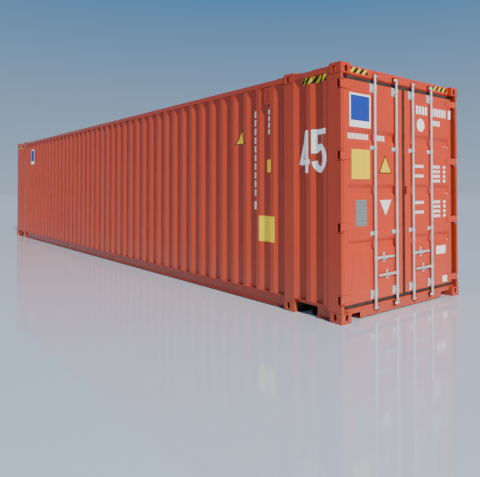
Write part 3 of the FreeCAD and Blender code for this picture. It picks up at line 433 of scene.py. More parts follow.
def vinyl_film(name, colour, painted_glow=0.0):
    """Cast vinyl film, rolled on: even colour, a faint grey grime in patches of 80 mm.

    The white and the yellow also glow a little, a painted light, so both look a little lit in shade.
    """
    material, tree, place = blank(name)
    grime = noise(tree, place, cells(80), 6.0, 0.7)
    soiling = ramp(tree, grime, 0.5, 0.8, 0.0, 0.22)
    film = mix(tree, soiling, rgba(colour), rgba(linear("#6E655C")))
    # The emission paints a little light into the film, so it glows without any lamp.
    finish_with(tree, {
        "Base Color": film, "Roughness": 0.35, "IOR": 1.49,
        "Emission Color": rgba(colour), "Emission Strength": painted_glow,
    })
    return material


def banded_film(name):
    """Vinyl film with slanted black and yellow bands, 106 mm from band to band."""
    material, tree, place = blank(name)
    slant = add(tree, "Attribute", attribute_name="slant")
    step = add(tree, "Math", {0: (slant, "Fac"), 1: mm(106)}, operation="FLOORED_MODULO")
    black = add(tree, "Math", {0: step, 1: mm(52)}, operation="LESS_THAN")
    film = mix(tree, black, rgba(colours().yellow), rgba(linear("#17150F")))
    grime = noise(tree, place, cells(60), 5.0)
    dull = ramp(tree, grime, 0.0, 1.0, 0.25, 0.5)
    finish_with(tree, {"Base Color": film, "Roughness": dull, "IOR": 1.49})
    return material


FINISHES = {
    "shell_enamel": lambda name: enamel(name, colours().shell),
    "shell_enamel_rubbed": lambda name: enamel(name, colours().shell, worn_and_highlit=True),
    "door_enamel": lambda name: enamel(name, colours().doors, 0.38),
    "keeper_enamel": lambda name: enamel(name, colours().keepers, 0.45, worn_and_highlit=True),
    "hot_dipped_zinc": hot_dipped_zinc,
    "seal_rubber": seal_rubber,
    "bitumen_coat": bitumen_coat,
    "deck_plywood": deck_plywood,
    "brushed_aluminium": brushed_aluminium,
    # The white and yellow films get a small glow: painted light.
    "white_film": lambda name: vinyl_film(name, linear("#F6F6F4"), 0.22),
    "yellow_film": lambda name: vinyl_film(name, colours().yellow, 0.30),
    "blue_film": lambda name: vinyl_film(name, colours().blue),
    "black_film": lambda name: vinyl_film(name, linear("#1D1A14")),
    "banded_film": banded_film,
}

FINISH_OF_SLOT = {
    "shell_paint": "shell_enamel",
    "casting_paint": "shell_enamel_rubbed",
    "door_paint": "door_enamel",
    "underframe_paint": "bitumen_coat",
    "galvanised_steel": "hot_dipped_zinc",
    "keeper_paint": "keeper_enamel",
    "gasket_rubber": "seal_rubber",
    "deck_plywood": "deck_plywood",
    "plate_aluminium": "brushed_aluminium",
}


def finish(name):
    """The named finish, made the first time that it is asked for."""
    return bpy.data.materials.get(name) or FINISHES[name](name)


# --- surfaces -------------------------------------------------------------------------------


def lofted(rings):
    """A closed skin through rings of points, one after the other, with a flat face on each end."""
    count, around = rings.shape[:2]
    ids = np.arange(count * around).reshape(count, around)
    turned = np.roll(ids, -1, axis=1)
    sides = np.stack([ids[:-1], turned[:-1], turned[1:], ids[1:]], -1).reshape(-1, 4)
    return rings.reshape(-1, 3), [sides, ids[:1, ::-1], ids[-1:]]


def shell(front, back):
    """A closed skin between two grids of points, with a rim joining their borders."""
    rows, columns = front.shape[:2]
    ids = np.arange(rows * columns).reshape(rows, columns)
    face = np.stack([ids[:-1, :-1], ids[1:, :-1], ids[1:, 1:], ids[:-1, 1:]], -1).reshape(-1, 4)
    border = np.concatenate([ids[:, 0], ids[-1, 1:], ids[-2::-1, -1], ids[0, -2:0:-1]])
    ahead = np.roll(border, -1)
    behind = rows * columns
    rim = np.stack([ahead, border, border + behind, ahead + behind], -1)
    points = np.concatenate([front.reshape(-1, 3), back.reshape(-1, 3)])
    return points, [face, face[:, ::-1] + behind, rim]


def piece(name, parts, material, body, replaces=(), crease=35, values=None):
    """Puts skins into one object that rides on a body.

    parts are (points, faces) pairs; values is a named number on each point, if a finish reads one.
    """
    points = np.concatenate([part[0] for part in parts])
    starts = np.cumsum([0] + [len(part[0]) for part in parts[:-1]])
    faces = [
        face
        for (_, groups), start in zip(parts, starts)
        for group in groups
        for face in (group + start).tolist()
    ]
    mesh = bpy.data.meshes.new(name)
    mesh.from_pydata(points.tolist(), [], faces)
    work = bmesh.new()
    work.from_mesh(mesh)
    bmesh.ops.recalc_face_normals(work, faces=work.faces)
    work.to_mesh(mesh)
    work.free()
    if values is not None:
        mesh.attributes.new("slant", "FLOAT", "POINT").data.foreach_set("value", values)
    mesh.shade_smooth()
    mesh.set_sharp_from_angle(angle=math.radians(crease))
    mesh.materials.append(finish(material))
    made = bpy.data.objects.new(name, mesh)
    bpy.context.scene.collection.objects.link(made)
    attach(made, body)
    if replaces:
        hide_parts(*replaces)
    return made


def bent(path, radius, steps=5):
    """A path whose corners are replaced by bends.

    A bend is (1 - w)^2 A + 2 w (1 - w) P + w^2 B for w from 0 to 1, where P is the corner and A
    and B lie on its two sides, radius times the tangent of half the turn away from it.
    """
    back, on = path[1:-1] - path[:-2], path[2:] - path[1:-1]
    far_back, far_on = np.linalg.norm(back, axis=1), np.linalg.norm(on, axis=1)
    u, v = back / far_back[:, None], on / far_on[:, None]
    turn = np.arccos(np.clip((u * v).sum(1), -1, 1))
    reach = np.minimum(radius * np.tan(turn / 2), 0.45 * np.minimum(far_back, far_on))[:, None]
    w = np.linspace(0, 1, steps)[None, :, None]
    start, end = (path[1:-1] - u * reach)[:, None], (path[1:-1] + v * reach)[:, None]
    curve = (1 - w) ** 2 * start + 2 * w * (1 - w) * path[1:-1, None] + w ** 2 * end
    return np.concatenate([path[:1], curve.reshape(-1, 2), path[-1:]])


def vertices_of(node):
    mesh = frame["nodes"][node].data
    flat = np.empty(len(mesh.vertices) * 3, np.float32)
    mesh.vertices.foreach_get("co", flat)
    return flat.reshape(-1, 3).astype(float)


def folded_face(node, along, depth, outward, low, high):
    """Corners (distance along, depth) of a folded sheet's outer face between two distances.

    At each distance where the sheet has corners, the outer face is the outermost depth there;
    corners in line with their neighbours are dropped.
    """
    spots = vertices_of(node)
    spots = spots[(spots[:, along] > low - mm(0.2)) & (spots[:, along] < high + mm(0.2))]
    where, group = np.unique(np.round(spots[:, along], 4), return_inverse=True)
    outer = np.full(len(where), -np.inf)
    np.maximum.at(outer, group.ravel(), outward * spots[:, depth])
    path = np.stack([where, outward * outer], -1)
    a, b = path[1:-1] - path[:-2], path[2:] - path[1:-1]
    kink = np.abs(a[:, 0] * b[:, 1] - a[:, 1] * b[:, 0]) > 1e-6
    return path[np.concatenate([[True], kink, [True]])]


def upright_sheet(path, along, depth, outward, low, high):
    """A folded sheet standing between two heights: its face is the path at every height."""
    levels = np.array([low, high])
    front = np.empty((len(path), len(levels), 3))
    front[..., along] = path[:, None, 0]
    front[..., depth] = path[:, None, 1]
    front[..., AXIS["z"]] = levels[None, :]
    back = front.copy()
    back[..., depth] -= outward * SHEET
    return shell(front, back)


def fillet(path, along, depth, outward, level, leg, up):
    """A weld along the foot or head of an upright sheet: a small bulged triangle on its path."""
    out = np.array([0, leg, 0.62 * leg, 0])
    rise = up * np.array([0, 0, 0.62 * leg, leg])
    rings = np.empty((len(path), 4, 3))
    rings[..., along] = path[:, None, 0]
    rings[..., depth] = path[:, None, 1] + outward * out[None, :]
    rings[..., AXIS["z"]] = level + rise[None, :]
    return lofted(rings)


def soft_step(t, soft=0.15):
    """Rises from 0 to 1 as t does, with rounded corners.

    It is half of sqrt(t^2 + s^2) - sqrt((t - 1)^2 + s^2) + 1, where s is soft.
    """
    return 0.5 * (np.sqrt(t ** 2 + soft ** 2) - np.sqrt((t - 1) ** 2 + soft ** 2) + 1)


def turned(profile, centre, axis="z", around=None):
    """A turned piece: (radius, distance) profile points carried round an axis through a centre."""
    angle = np.arange(around or sizes().around) * FULL_TURN / (around or sizes().around)
    radius, reach = np.array(profile).T
    rings = np.empty((len(radius), len(angle), 3))
    first, second, third = {"z": (0, 1, 2), "x": (1, 2, 0), "y": (2, 0, 1)}[axis]
    rings[..., first] = centre[first] + radius[:, None] * np.cos(angle)
    rings[..., second] = centre[second] + radius[:, None] * np.sin(angle)
    rings[..., third] = centre[third] + reach[:, None]
    return lofted(rings)


def copies(part, places):
    """The same skin at many places, as one skin."""
    points, groups = part
    spots = np.asarray(places)
    shift = (np.arange(len(spots)) * len(points))[:, None, None]
    return (points + spots[:, None]).reshape(-1, 3), [
        (group + shift).reshape(-1, group.shape[1]) for group in groups
    ]


def plate(outline, low, high, axis, chamfer):
    """A plate with an outline, from low to high on an axis, its edges chamfered.

    The outline lies in the other two axes, in their order, and is drawn in towards its centre by
    the chamfer at both faces.
    """
    centre = outline.mean(0)
    spoke = outline - centre
    inner = centre + spoke * (1 - chamfer / np.linalg.norm(spoke, axis=1))[:, None]
    edge = min(chamfer, 0.45 * (high - low))
    rings = np.empty((4, len(outline), 3))
    flat = [i for i in range(3) if i != AXIS[axis]]
    rings[..., flat] = np.stack([inner, outline, outline, inner])
    rings[..., AXIS[axis]] = np.array([low, low + edge, high - edge, high])[:, None]
    return lofted(rings)


def capsule(start, end, big, small, steps=12):
    """Outline of a bar that tapers between a big round end and a small one.

    Both ends are arcs; they meet the straight sides at the angle whose cosine is the difference
    of the radii over the distance between the centres.
    """
    start, end = np.array(start), np.array(end)
    gap = np.linalg.norm(end - start)
    lean = math.atan2(*(end - start)[::-1])
    side = math.acos((big - small) / gap)
    far = lean + np.linspace(-side, side, steps)
    near = lean + np.linspace(side, FULL_TURN - side, 2 * steps)
    return np.concatenate([
        end + small * np.stack([np.cos(far), np.sin(far)], -1),
        start + big * np.stack([np.cos(near), np.sin(near)], -1),
    ])


# --- walls and roof -------------------------------------------------------------------------

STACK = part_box("middle_castings")[1].x
MIDDLE_END = STACK - CASTING_LENGTH
CORNER = CAD_HIGH.x - CASTING_LENGTH
# End of the last fold of each end panel. From there a flat strip runs to the corner casting's
# line, above the level given.
END_FOLD = 6.652
STRIP_LOW = 2.778
ROOF_FOLD_END = 0.045
LOUVRES = 8
SCREW_ROWS = 46
SCREW_INSET = 0.06
SCREW_LINES = (-1.08, -0.80, -0.45, -0.06, 0.06, 0.45, 0.80, 1.08)


def wall_path(side):
    """The bays of one side wall between its castings, each as the (x, y) of its bent face."""
    node = f"{side}_side_wall"
    bays = [(-END_FOLD, -STACK), (-MIDDLE_END, MIDDLE_END), (STACK, END_FOLD)]
    return [bent(folded_face(node, 0, 1, DOORS[side], *bay), sizes().wall_bend) for bay in bays]


class CONTAINER_OT_side_walls(bpy.types.Operator):
    """Side walls pressed from sheet: each face follows its folds with round bends"""

    bl_idname = "container.side_walls"
    bl_label = "Side walls"

    def execute(self, context):
        for side, sign in DOORS.items():
            node = f"{side}_side_wall"
            low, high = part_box(node)
            bays = wall_path(side)
            parts = [upright_sheet(path, 0, 1, sign, low.z, high.z) for path in bays]
            for end, path in ((1, bays[2][-1:]), (-1, bays[0][:1])):
                strip = np.concatenate([path, [[end * CORNER, path[0, 1]]]])
                parts.append(upright_sheet(strip, 0, 1, sign, STRIP_LOW, high.z))
            piece(f"{side}_wall_sheets", parts, "shell_enamel", "container", [node], 50)
        return {"FINISHED"}


class CONTAINER_OT_front_wall(bpy.types.Operator):
    """Front wall pressed from sheet, with deeper and steeper folds than the sides"""

    bl_idname = "container.front_wall"
    bl_label = "Front wall"

    def execute(self, context):
        low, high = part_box("front_wall")
        path = bent(folded_face("front_wall", 1, 0, -1, low.y, high.y), sizes().wall_bend / 2)
        part = upright_sheet(path, 1, 0, -1, low.z, high.z)
        piece("front_wall_sheet", [part], "shell_enamel", "container", ["front_wall"], 50)
        return {"FINISHED"}


class CONTAINER_OT_roof(bpy.types.Operator):
    """Roof panels with raised folds, and the doubler plates beside the castings

    Height above the flat is the fold's height at that x times a soft step of the distance from
    the line where the folds end. That line runs beside the rail, and steps in round each plate.
    """

    bl_idname = "container.roof"
    bl_label = "Roof"

    def execute(self, context):
        low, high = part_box("roof")
        path = bent(folded_face("roof", 0, 2, 1, low.x, high.x), sizes().roof_bend, 4)
        narrow = CAD_HIGH.y - CASTING_WIDTH
        planes = [low.x, -CORNER, -STACK, -MIDDLE_END, MIDDLE_END, STACK, high.x]
        halves = [narrow, high.y] * 3
        spots = vertices_of("roof_corner_plates")
        spans = np.unique(np.round(spots[:, 0], 4)).reshape(-1, 2)
        inner, outer = np.abs(spots[:, 1]).min(), np.abs(spots[:, 1]).max()
        flat = path[:, 1].min()
        parts = []
        for start, end, half in zip(planes, planes[1:], halves):
            inside = path[(path[:, 0] > start + mm(0.5)) & (path[:, 0] < end - mm(0.5)), 0]
            x = np.concatenate([[start], inside, [end]])
            rise = np.interp(x, path[:, 0], path[:, 1]) - flat
            near_edge = np.concatenate([
                np.linspace(inner - 0.10, inner + 0.02, 7), np.linspace(half - 0.12, half, 9),
            ])
            y = np.concatenate([-near_edge[::-1], [-0.4, 0.0, 0.4], near_edge])
            away = np.maximum(spans[:, :1] - x, x - spans[:, 1:]).min(0)
            beside = np.interp(away, [0.01, 0.07], [1.0, 0.0])
            beside_rail = high.y - sizes().roof_margin
            line = beside_rail - beside * (beside_rail - inner + 0.02)
            line = line if half == high.y else np.full_like(line, high.y)
            shut = soft_step((line[:, None] - np.abs(y)) / ROOF_FOLD_END)
            front = np.empty((len(x), len(y), 3))
            front[..., 0], front[..., 1] = np.meshgrid(x, y, indexing="ij")
            front[..., 2] = flat + rise[:, None] * shut
            parts.append(shell(front, front - [0, 0, SHEET]))
        piece("roof_sheets", parts, "shell_enamel", "container", ["roof"], 50)
        doublers = []
        for start, end in spans:
            corners = np.array([[start, inner], [end, inner], [end, outer], [start, outer]])
            for side in DOORS.values():
                doublers.append(plate(corners * [1, side], flat, flat + mm(3), "z", mm(1)))
        piece(
            "roof_doublers", doublers, "shell_enamel", "container", ["roof_corner_plates"],
            40,
        )
        return {"FINISHED"}


class CONTAINER_OT_welds(bpy.types.Operator):
    """Fillet welds along the foot and head of the side walls"""

    bl_idname = "container.welds"
    bl_label = "Welds"

    def execute(self, context):
        leg = sizes().weld_size
        parts = []
        for side, sign in DOORS.items():
            low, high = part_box(f"{side}_side_wall")
            for path in wall_path(side):
                parts.append(fillet(path, 0, 1, sign, low.z, leg, 1))
                parts.append(fillet(path, 0, 1, sign, high.z, leg, -1))
        piece("wall_welds", parts, "shell_enamel", "container", crease=60)
        return {"FINISHED"}


class CONTAINER_OT_ventilators(bpy.types.Operator):
    """Ventilators: a cover whose face drops in behind each louvre

    Depth is a ramp over each louvre's height that starts again at the next, times a soft step of
    the distance from the cover's edge.
    """

    bl_idname = "container.ventilators"
    bl_label = "Ventilators"

    def execute(self, context):
        spots = vertices_of("ventilators")
        parts = []
        for sign in DOORS.values():
            cover = spots[spots[:, 1] * sign > 0]
            low, high = cover.min(0), cover.max(0)
            face, back = (high[1], low[1]) if sign > 0 else (low[1], high[1])
            x = np.linspace(low[0], high[0], 30)
            z = np.linspace(low[2], high[2], 121)
            from_ends = np.minimum(x - low[0], high[0] - x)
            from_heads = np.minimum(z - low[2], high[2] - z)
            near = np.minimum.outer(from_ends, from_heads)
            inside = np.clip(soft_step((near - mm(12)) / mm(6)), 0, 1)
            drop = ((z - low[2]) / (high[2] - low[2]) * LOUVRES) % 1
            front = np.empty((len(x), len(z), 3))
            front[..., 0], front[..., 2] = np.meshgrid(x, z, indexing="ij")
            front[..., 1] = face - sign * (mm(0.6) * (near < mm(1)) + mm(5) * inside * drop)
            rear = front.copy()
            rear[..., 1] = back
            parts.append(shell(front, rear))
        piece("louvred_covers", parts, "shell_enamel", "container", ["ventilators"], 40)
        return {"FINISHED"}


class CONTAINER_OT_deck_screws(bpy.types.Operator):
    """Screws that hold the deck boards, their heads a hair above the wood"""

    bl_idname = "container.deck_screws"
    bl_label = "Deck screws"

    def execute(self, context):
        low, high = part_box("floor")
        rows = np.linspace(low.x + SCREW_INSET, high.x - SCREW_INSET, SCREW_ROWS)
        x, y = np.meshgrid(rows, SCREW_LINES, indexing="ij")
        head = turned([(mm(7), 0), (mm(6.5), mm(0.6)), (mm(2), mm(0.3))], (0, 0, 0), around=8)
        places = np.stack([x, y, np.full_like(x, high.z)], -1).reshape(-1, 3)
        heads = [copies(head, places)]
        piece("deck_screws", heads, "hot_dipped_zinc", "container")
        return {"FINISHED"}


# --- doors ----------------------------------------------------------------------------------

PAN_LEVELS = (0.828, 1.466, 2.104)
PAN_HALF = 0.075
PAN_SLOPE = 0.046
PAN_END_SLOPE = 0.022


def rectangle(low, high):
    """The four corners of a box as seen along x, as (y, z)."""
    return np.array([[low.y, low.z], [high.y, low.z], [high.y, high.z], [low.y, high.z]])


def pan_depth(y, z, low, high):
    """Depth of the pans below a door sheet's face.

    It is the pans' depth times a soft step up each long slope and each end slope, so that the
    pans' corners come out round.
    """
    inward = np.minimum(y - low.y, high.y - y) - SHEET
    ends = soft_step(inward / PAN_END_SLOPE) * (inward > -mm(1))
    press = sum(soft_step((PAN_HALF - np.abs(z - level)) / PAN_SLOPE) for level in PAN_LEVELS)
    return sizes().pan_depth * press * ends


def door_grid(low, high):
    """Lines of a door sheet's grid: even ones, and closer ones where a pan's sides bend."""
    offsets = np.linspace(-PAN_HALF - 0.012, -PAN_HALF + PAN_SLOPE + 0.012, 15)
    bends = np.concatenate([level + sign * offsets for level in PAN_LEVELS for sign in (1, -1)])
    rows = np.unique(np.concatenate([np.linspace(low.z, high.z, 24), bends]))
    ends = np.linspace(0, PAN_END_SLOPE + 0.02, 12)
    columns = np.unique(np.concatenate([np.linspace(low.y, high.y, 14), low.y + ends, high.y - ends]))
    return rows, columns


class CONTAINER_OT_door_sheets(bpy.types.Operator):
    """Door sheets with three pressed pans, and the welds round them"""

    bl_idname = "container.door_sheets"
    bl_label = "Door sheets"

    def execute(self, context):
        for side in DOORS:
            node = f"{side}_door_panel"
            low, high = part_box(node)
            z, y = np.meshgrid(*door_grid(low, high), indexing="ij")
            front = np.stack([high.x - pan_depth(y, z, low, high), y, z], -1)
            part = shell(front, front - [SHEET, 0, 0])
            piece(f"{side}_door_sheet", [part], "door_enamel", f"{side}_door", [node], 50)
            parts = []
            leg = sizes().weld_size
            corners = rectangle(low, high)
            around = np.concatenate([corners, corners[:1]])
            for a, b in zip(around, around[1:]):
                run = (b - a) / np.linalg.norm(b - a)
                away = np.array([run[1], -run[0]])
                bulge = np.array([[-1, 0], [-0.6, 0.45], [0, 0.6], [0.6, 0.45], [1, 0]]) * leg
                rings = np.empty((2, len(bulge), 3))
                rings[..., 0] = high.x + bulge[:, 1]
                rings[..., 1:] = np.stack([a, b])[:, None] + away * bulge[None, :, :1]
                parts.append(lofted(rings))
            name = f"{side}_door_welds"
            piece(name, parts, "door_enamel", f"{side}_door", crease=60)
        return {"FINISHED"}


class CONTAINER_OT_door_seals(bpy.types.Operator):
    """Rubber seals round the doors

    A profile runs from the leaf's edge (0) to the seal's outer edge (1): a flat shank, two
    ridges and an outer lip; each point keeps its share of the way round the rectangle.
    """

    bl_idname = "container.door_seals"
    bl_label = "Door seals"

    def execute(self, context):
        # Share of the way out, and height above the strip's back as a share of its depth.
        outer_face = [
            (0.0, 0.55), (0.10, 0.58), (0.16, 0.92), (0.24, 1.0), (0.32, 0.92), (0.38, 0.55),
            (0.52, 0.50), (0.58, 0.80), (0.66, 0.90), (0.74, 0.80), (0.80, 0.45), (0.90, 0.50),
            (1.0, 0.42),
        ]
        share, rise = np.array(outer_face + [(1.0, 0.12), (0.0, 0.0)]).T
        for side in DOORS:
            node = f"{side}_door_gasket"
            low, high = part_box(node)
            leaf_low, leaf_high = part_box(f"{side}_door_frame")
            outer, inner = rectangle(low, high), rectangle(leaf_low, leaf_high)
            rings = np.empty((5, len(share), 3))
            rings[..., 0] = low.x + (high.x - low.x) * rise
            corners = inner[:, None] + (outer - inner)[:, None] * share[None, :, None]
            rings[..., 1:] = np.concatenate([corners, corners[:1]])
            points, faces = lofted(rings)
            count = len(share)
            sides = faces[0].copy()
            sides[sides >= 4 * count] -= 4 * count
            part = (points[:4 * count], [sides])
            piece(
                f"{side}_door_seal", [part], "seal_rubber", f"{side}_door", [node],
                40,
            )
        return {"FINISHED"}


# --- locking gear ---------------------------------------------------------------------------

ROD_RADIUS = 0.017
CAM_HEIGHT = 0.026
CAM_REACH = 0.048
COLLAR_RADIUS = 0.021
COLLAR_HALF = 0.025
FORK_IN, FORK_OUT = 0.009, 0.014
FORK_HALF = 0.017
HANDLE_HALF = 0.007
# Level of each rod bracket, and how far its nuts stand above and below the middle.
BRACKETS = ((0.250, 0.034), (0.963, 0.0), (1.970, 0.0), (2.675, 0.034))
NUT_OFFSET = 0.046
RIVET_OFFSET = 0.048
RETAINER_REACH = 0.18


def joint_of(name):
    return next(joint for joint in frame["joints"] if joint["name"] == name)


def rod_place(number):
    """The rod's line (x, y), the way its handle points, and its handle pin's place."""
    turn, lift = joint_of(f"lock_rod_{number}_turn"), joint_of(f"handle_{number}_lift")
    x, y = turn["pos_m"][:2]
    pin = lift["pos_m"]
    return x, y, math.copysign(1, pin[1] - y), pin


def rounded(share):
    """Size left on the way into a round end: the root of 1 - share^2, never quite nothing."""
    return np.sqrt(np.clip(1 - np.clip(share, 0, 1) ** 2, 0.03, 1))


class CONTAINER_OT_lock_rods(bpy.types.Operator):
    """Lock rods: a turned bar and collar, tapered cams, and a fork with its pin"""

    bl_idname = "container.lock_rods"
    bl_label = "Lock rods"

    def execute(self, context):
        for number in RODS:
            x, y, way, pin = rod_place(number)
            low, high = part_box(f"lock_rod_{number}")
            bite = mm(1.5)
            bar = [(ROD_RADIUS - bite, low.z), (ROD_RADIUS, low.z + bite)]
            bar += [(ROD_RADIUS, high.z - bite), (ROD_RADIUS - bite, high.z)]
            parts = [turned(bar, (x, y, 0))]
            nose = capsule((x, y), (x, y + way * (CAM_REACH - mm(7))), mm(20), mm(7))
            for level in (low.z + mm(4), high.z - CAM_HEIGHT):
                parts.append(plate(nose, level, level + CAM_HEIGHT, "z", mm(2)))
            z = pin[2]
            collar = [(COLLAR_RADIUS - bite, -COLLAR_HALF), (COLLAR_RADIUS, bite - COLLAR_HALF)]
            collar += [(radius, -reach) for radius, reach in reversed(collar)]
            parts.append(turned(collar, (x, y, z)))
            tip = y + way * (abs(pin[1] - y) - mm(5))
            fork = capsule((tip, z), (y, z), FORK_HALF, FORK_HALF - mm(0.1), 8)
            for near, far in ((FORK_IN, FORK_OUT), (-FORK_OUT, -FORK_IN)):
                parts.append(plate(fork, x + near, x + far, "x", mm(1)))
            head = [(mm(6), -mm(17)), (mm(8), -mm(16)), (mm(8.5), -FORK_OUT), (mm(6), -FORK_OUT)]
            head += [(radius, -reach) for radius, reach in reversed(head)]
            parts.append(turned(head, (x, pin[1], z), "x", 20))
            node = f"lock_rod_{number}"
            piece(f"rod_assembly_{number}", parts, "hot_dipped_zinc", node, [node])
        return {"FINISHED"}


class CONTAINER_OT_handles(bpy.types.Operator):
    """Handles: forged bars whose rounded section narrows to the grip

    Each section is a squared ellipse, |a|^4 + |b|^4 = 1, and the last ones shrink to a round tip.
    """

    bl_idname = "container.handles"
    bl_label = "Handles"

    def execute(self, context):
        angle = np.arange(28) * FULL_TURN / 28
        fold = (np.abs(np.cos(angle)) ** 4 + np.abs(np.sin(angle)) ** 4) ** -0.25
        for number in RODS:
            x, y, way, pin = rod_place(number)
            node = f"handle_{number}"
            low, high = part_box(node)
            near = min(abs(low.y - y), abs(high.y - y))
            reach = max(abs(low.y - y), abs(high.y - y))
            run = np.concatenate([
                near + mm(8) * (1 - np.cos(np.linspace(0.15, 1, 6) * math.pi / 2)),
                np.linspace(near + mm(14), reach - mm(14), 24),
                reach - mm(12) * (1 - np.sin(np.linspace(0.1, 1, 8) * math.pi / 2)),
            ])
            run = np.unique(np.round(run, 6))
            stations = [near, near + mm(8), 0.21, reach]
            high_half = np.interp(run, stations, mm(1) * np.array([10, 15.8, 15.5, 11.8]))
            tip = rounded((run - (reach - mm(12))) / mm(12.4))
            root = rounded((near + mm(8) - run) / mm(8.6))
            shrink = tip * root
            rings = np.empty((len(run), len(angle), 3))
            rings[..., 0] = x + HANDLE_HALF * (0.55 + 0.45 * shrink)[:, None] * np.cos(angle) * fold
            rings[..., 1] = (y + way * run)[:, None]
            rings[..., 2] = pin[2] + (high_half * shrink)[:, None] * np.sin(angle) * fold
            piece(
                f"forged_handle_{number}", [lofted(rings)], "hot_dipped_zinc", node, [node],
                45,
            )
        return {"FINISHED"}


class CONTAINER_OT_fasteners(bpy.types.Operator):
    """Nuts on the rod brackets, rivets on the handle retainers and on the data plate"""

    bl_idname = "container.fasteners"
    bl_label = "Fasteners"

    def execute(self, context):
        nut = [(mm(12.5), 0), (mm(12.5), mm(1.6)), (mm(11), mm(1.8)), (mm(11), mm(8)), (mm(9.5), mm(9))]
        stub = [(mm(5.2), mm(8)), (mm(5.2), mm(12)), (mm(4.4), mm(13))]
        rivet = [(mm(8), 0), (mm(7.6), mm(1.6)), (mm(6.0), mm(3.2)), (mm(3), mm(4.2))]
        for side in DOORS:
            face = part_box(f"{side}_door_frame")[1].x
            parts = []
            for number in RODS:
                if DOOR_OF_ROD[number] != side:
                    continue
                _, y, way, pin = rod_place(number)
                for level, rise in BRACKETS:
                    for dy in (-NUT_OFFSET, NUT_OFFSET):
                        for dz in ((-rise, rise) if rise else (0,)):
                            spot = (face + mm(4), y + dy, level + dz)
                            parts.append(turned(nut, spot, "x", 6))
                            parts.append(turned(stub, spot, "x", 12))
                for dz in (-RIVET_OFFSET, RIVET_OFFSET):
                    spot = (face + mm(10), y + way * RETAINER_REACH, pin[2] + dz)
                    parts.append(turned(rivet, spot, "x", 16))
            name = f"{side}_gear_fasteners"
            piece(name, parts, "hot_dipped_zinc", f"{side}_door", crease=30)
        low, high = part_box("data_plate")
        inset = mm(10)
        columns, rows = (low.y + inset, high.y - inset), (low.z + inset, high.z - inset)
        corners = [(y, z) for y in columns for z in rows]
        small = [(mm(4), 0), (mm(3.4), mm(1.4)), (mm(1.5), mm(2))]
        rivets = [turned(small, (high.x, *spot), "x", 12) for spot in corners]
        piece("plate_rivets", rivets, "brushed_aluminium", "left_door")
        return {"FINISHED"}



# --- coloured films -------------------------------------------------------------------------


def on_wall(x, z, side="left", lift=1.0):
    """Film on a side wall: grids of x and z, laid on the bent face and held just off it."""
    path = np.concatenate(wall_path(side))
    sign = DOORS[side]
    y = np.interp(x, path[:, 0], path[:, 1]) + sign * lift * sizes().film_thickness
    front = np.stack([x, y + sign * sizes().film_thickness, z], -1)
    back = np.stack([x, y, z], -1)
    return shell(front, back)


def on_face(y, z, face, lift=0.0, dip=0.0):
    """Film on an upright face of the door end: grids of y and z, just off the face or in a pan."""
    start = face + mm(0.2) + lift * sizes().film_thickness - dip
    back = np.stack([start + np.zeros_like(y), y, z], -1)
    return shell(back + [sizes().film_thickness, 0, 0], back)


def oblong(left, right, low, high, step=None):
    """A grid over an oblong, as fine as the step."""
    count = 2 if step is None else 2 + int((right - left) / step)
    return np.meshgrid(np.linspace(left, right, count), np.array([low, high]), indexing="ij")


def triangle(left, right, base, apex, step=None):
    """A grid over a triangle: height runs from the base to the apex times a tent over the width."""
    count = 3 if step is None else 3 + 2 * int((right - left) / 2 / step)
    x = np.linspace(left, right, count)
    tent = np.clip(1 - np.abs(2 * (x - left) / (right - left) - 1), 0.004, 1)
    share = np.array([0.0, 1.0])
    return np.broadcast_to(x[:, None], (count, 2)), base + (apex - base) * tent[:, None] * share


def disc(y, z, radius):
    """A grid over a disc: angle by share of the radius, from a pinhole at its centre."""
    angle, share = np.meshgrid(np.linspace(0, FULL_TURN, 41), np.linspace(0.01, 1, 3), indexing="ij")
    return y + radius * share * np.cos(angle), z + radius * share * np.sin(angle)


def stroke(line, width, step):
    """A band along a line of points: each point moved to both sides, along the line's normal."""
    run = np.gradient(line, axis=0)
    normal = np.stack([-run[:, 1], run[:, 0]], -1) / np.linalg.norm(run, axis=1)[:, None]
    side = np.linspace(-width / 2, width / 2, 2 + int(width / step))
    grid = line[:, None] + normal[:, None] * side[None, :, None]
    return grid[..., 0], grid[..., 1]


def straight(a, b, step):
    """Evenly spaced points from a to b."""
    count = 2 + int(np.linalg.norm(np.subtract(b, a)) / step)
    return np.array(a) + np.linspace(0, 1, count)[:, None] * np.subtract(b, a)


def big_digits(low, high, step=0.006):
    """The digits 4 and 5 as bands, between two corners of an oblong in (x, z)."""
    (left, foot), (right, head) = low, high
    width, height = right - left, head - foot
    thin, thick = 0.12 * height, 0.145 * height
    stem = left + 0.30 * width
    lean = np.array([stem - left - thin / 2, 0.65 * height])
    lean *= thin / 2 / np.linalg.norm(lean)
    level = foot + 0.255 * height
    start = left + 0.47 * width
    neck, flag = start + thick / 2, head - thin / 2
    angle = np.linspace(math.radians(142), math.radians(-166), 90)
    centre = np.array([(start + right) / 2, foot + 0.33 * height])
    radii = np.array([(right - start - thick) / 2, 0.33 * height - thick / 2])
    bowl = centre + radii * np.stack([np.cos(angle), np.sin(angle)], -1)
    return [
        stroke(straight((stem, foot), (stem, head), step), thin, step),
        stroke(straight((stem, head) - lean, (left + thin / 2, level) - lean, step), thin, step),
        stroke(straight((left, level), (left + 0.42 * width, level), step), thin, step),
        stroke(straight((start, flag), (right - 0.03 * width, flag), step), thin, step),
        stroke(straight((neck, head), (neck, foot + 0.45 * height), step), thick, step),
        stroke(bowl, thick, step),
    ]


# Films on the doors, as (left, right, low, high); triangles as (left, right, base, apex).
DOOR_PANEL = (-1.020, -0.646, 2.196, 2.584)
DOOR_YELLOW = (-0.987, -0.662, 1.600, 1.941)
DOOR_TRIANGLE_RIM = (-0.496, -0.240, 1.672, 1.894)
DOOR_TRIANGLE = (-0.472, -0.264, 1.684, 1.868)
DOOR_WHITE_TRIANGLE = (-0.475, -0.256, 1.350, 1.166)
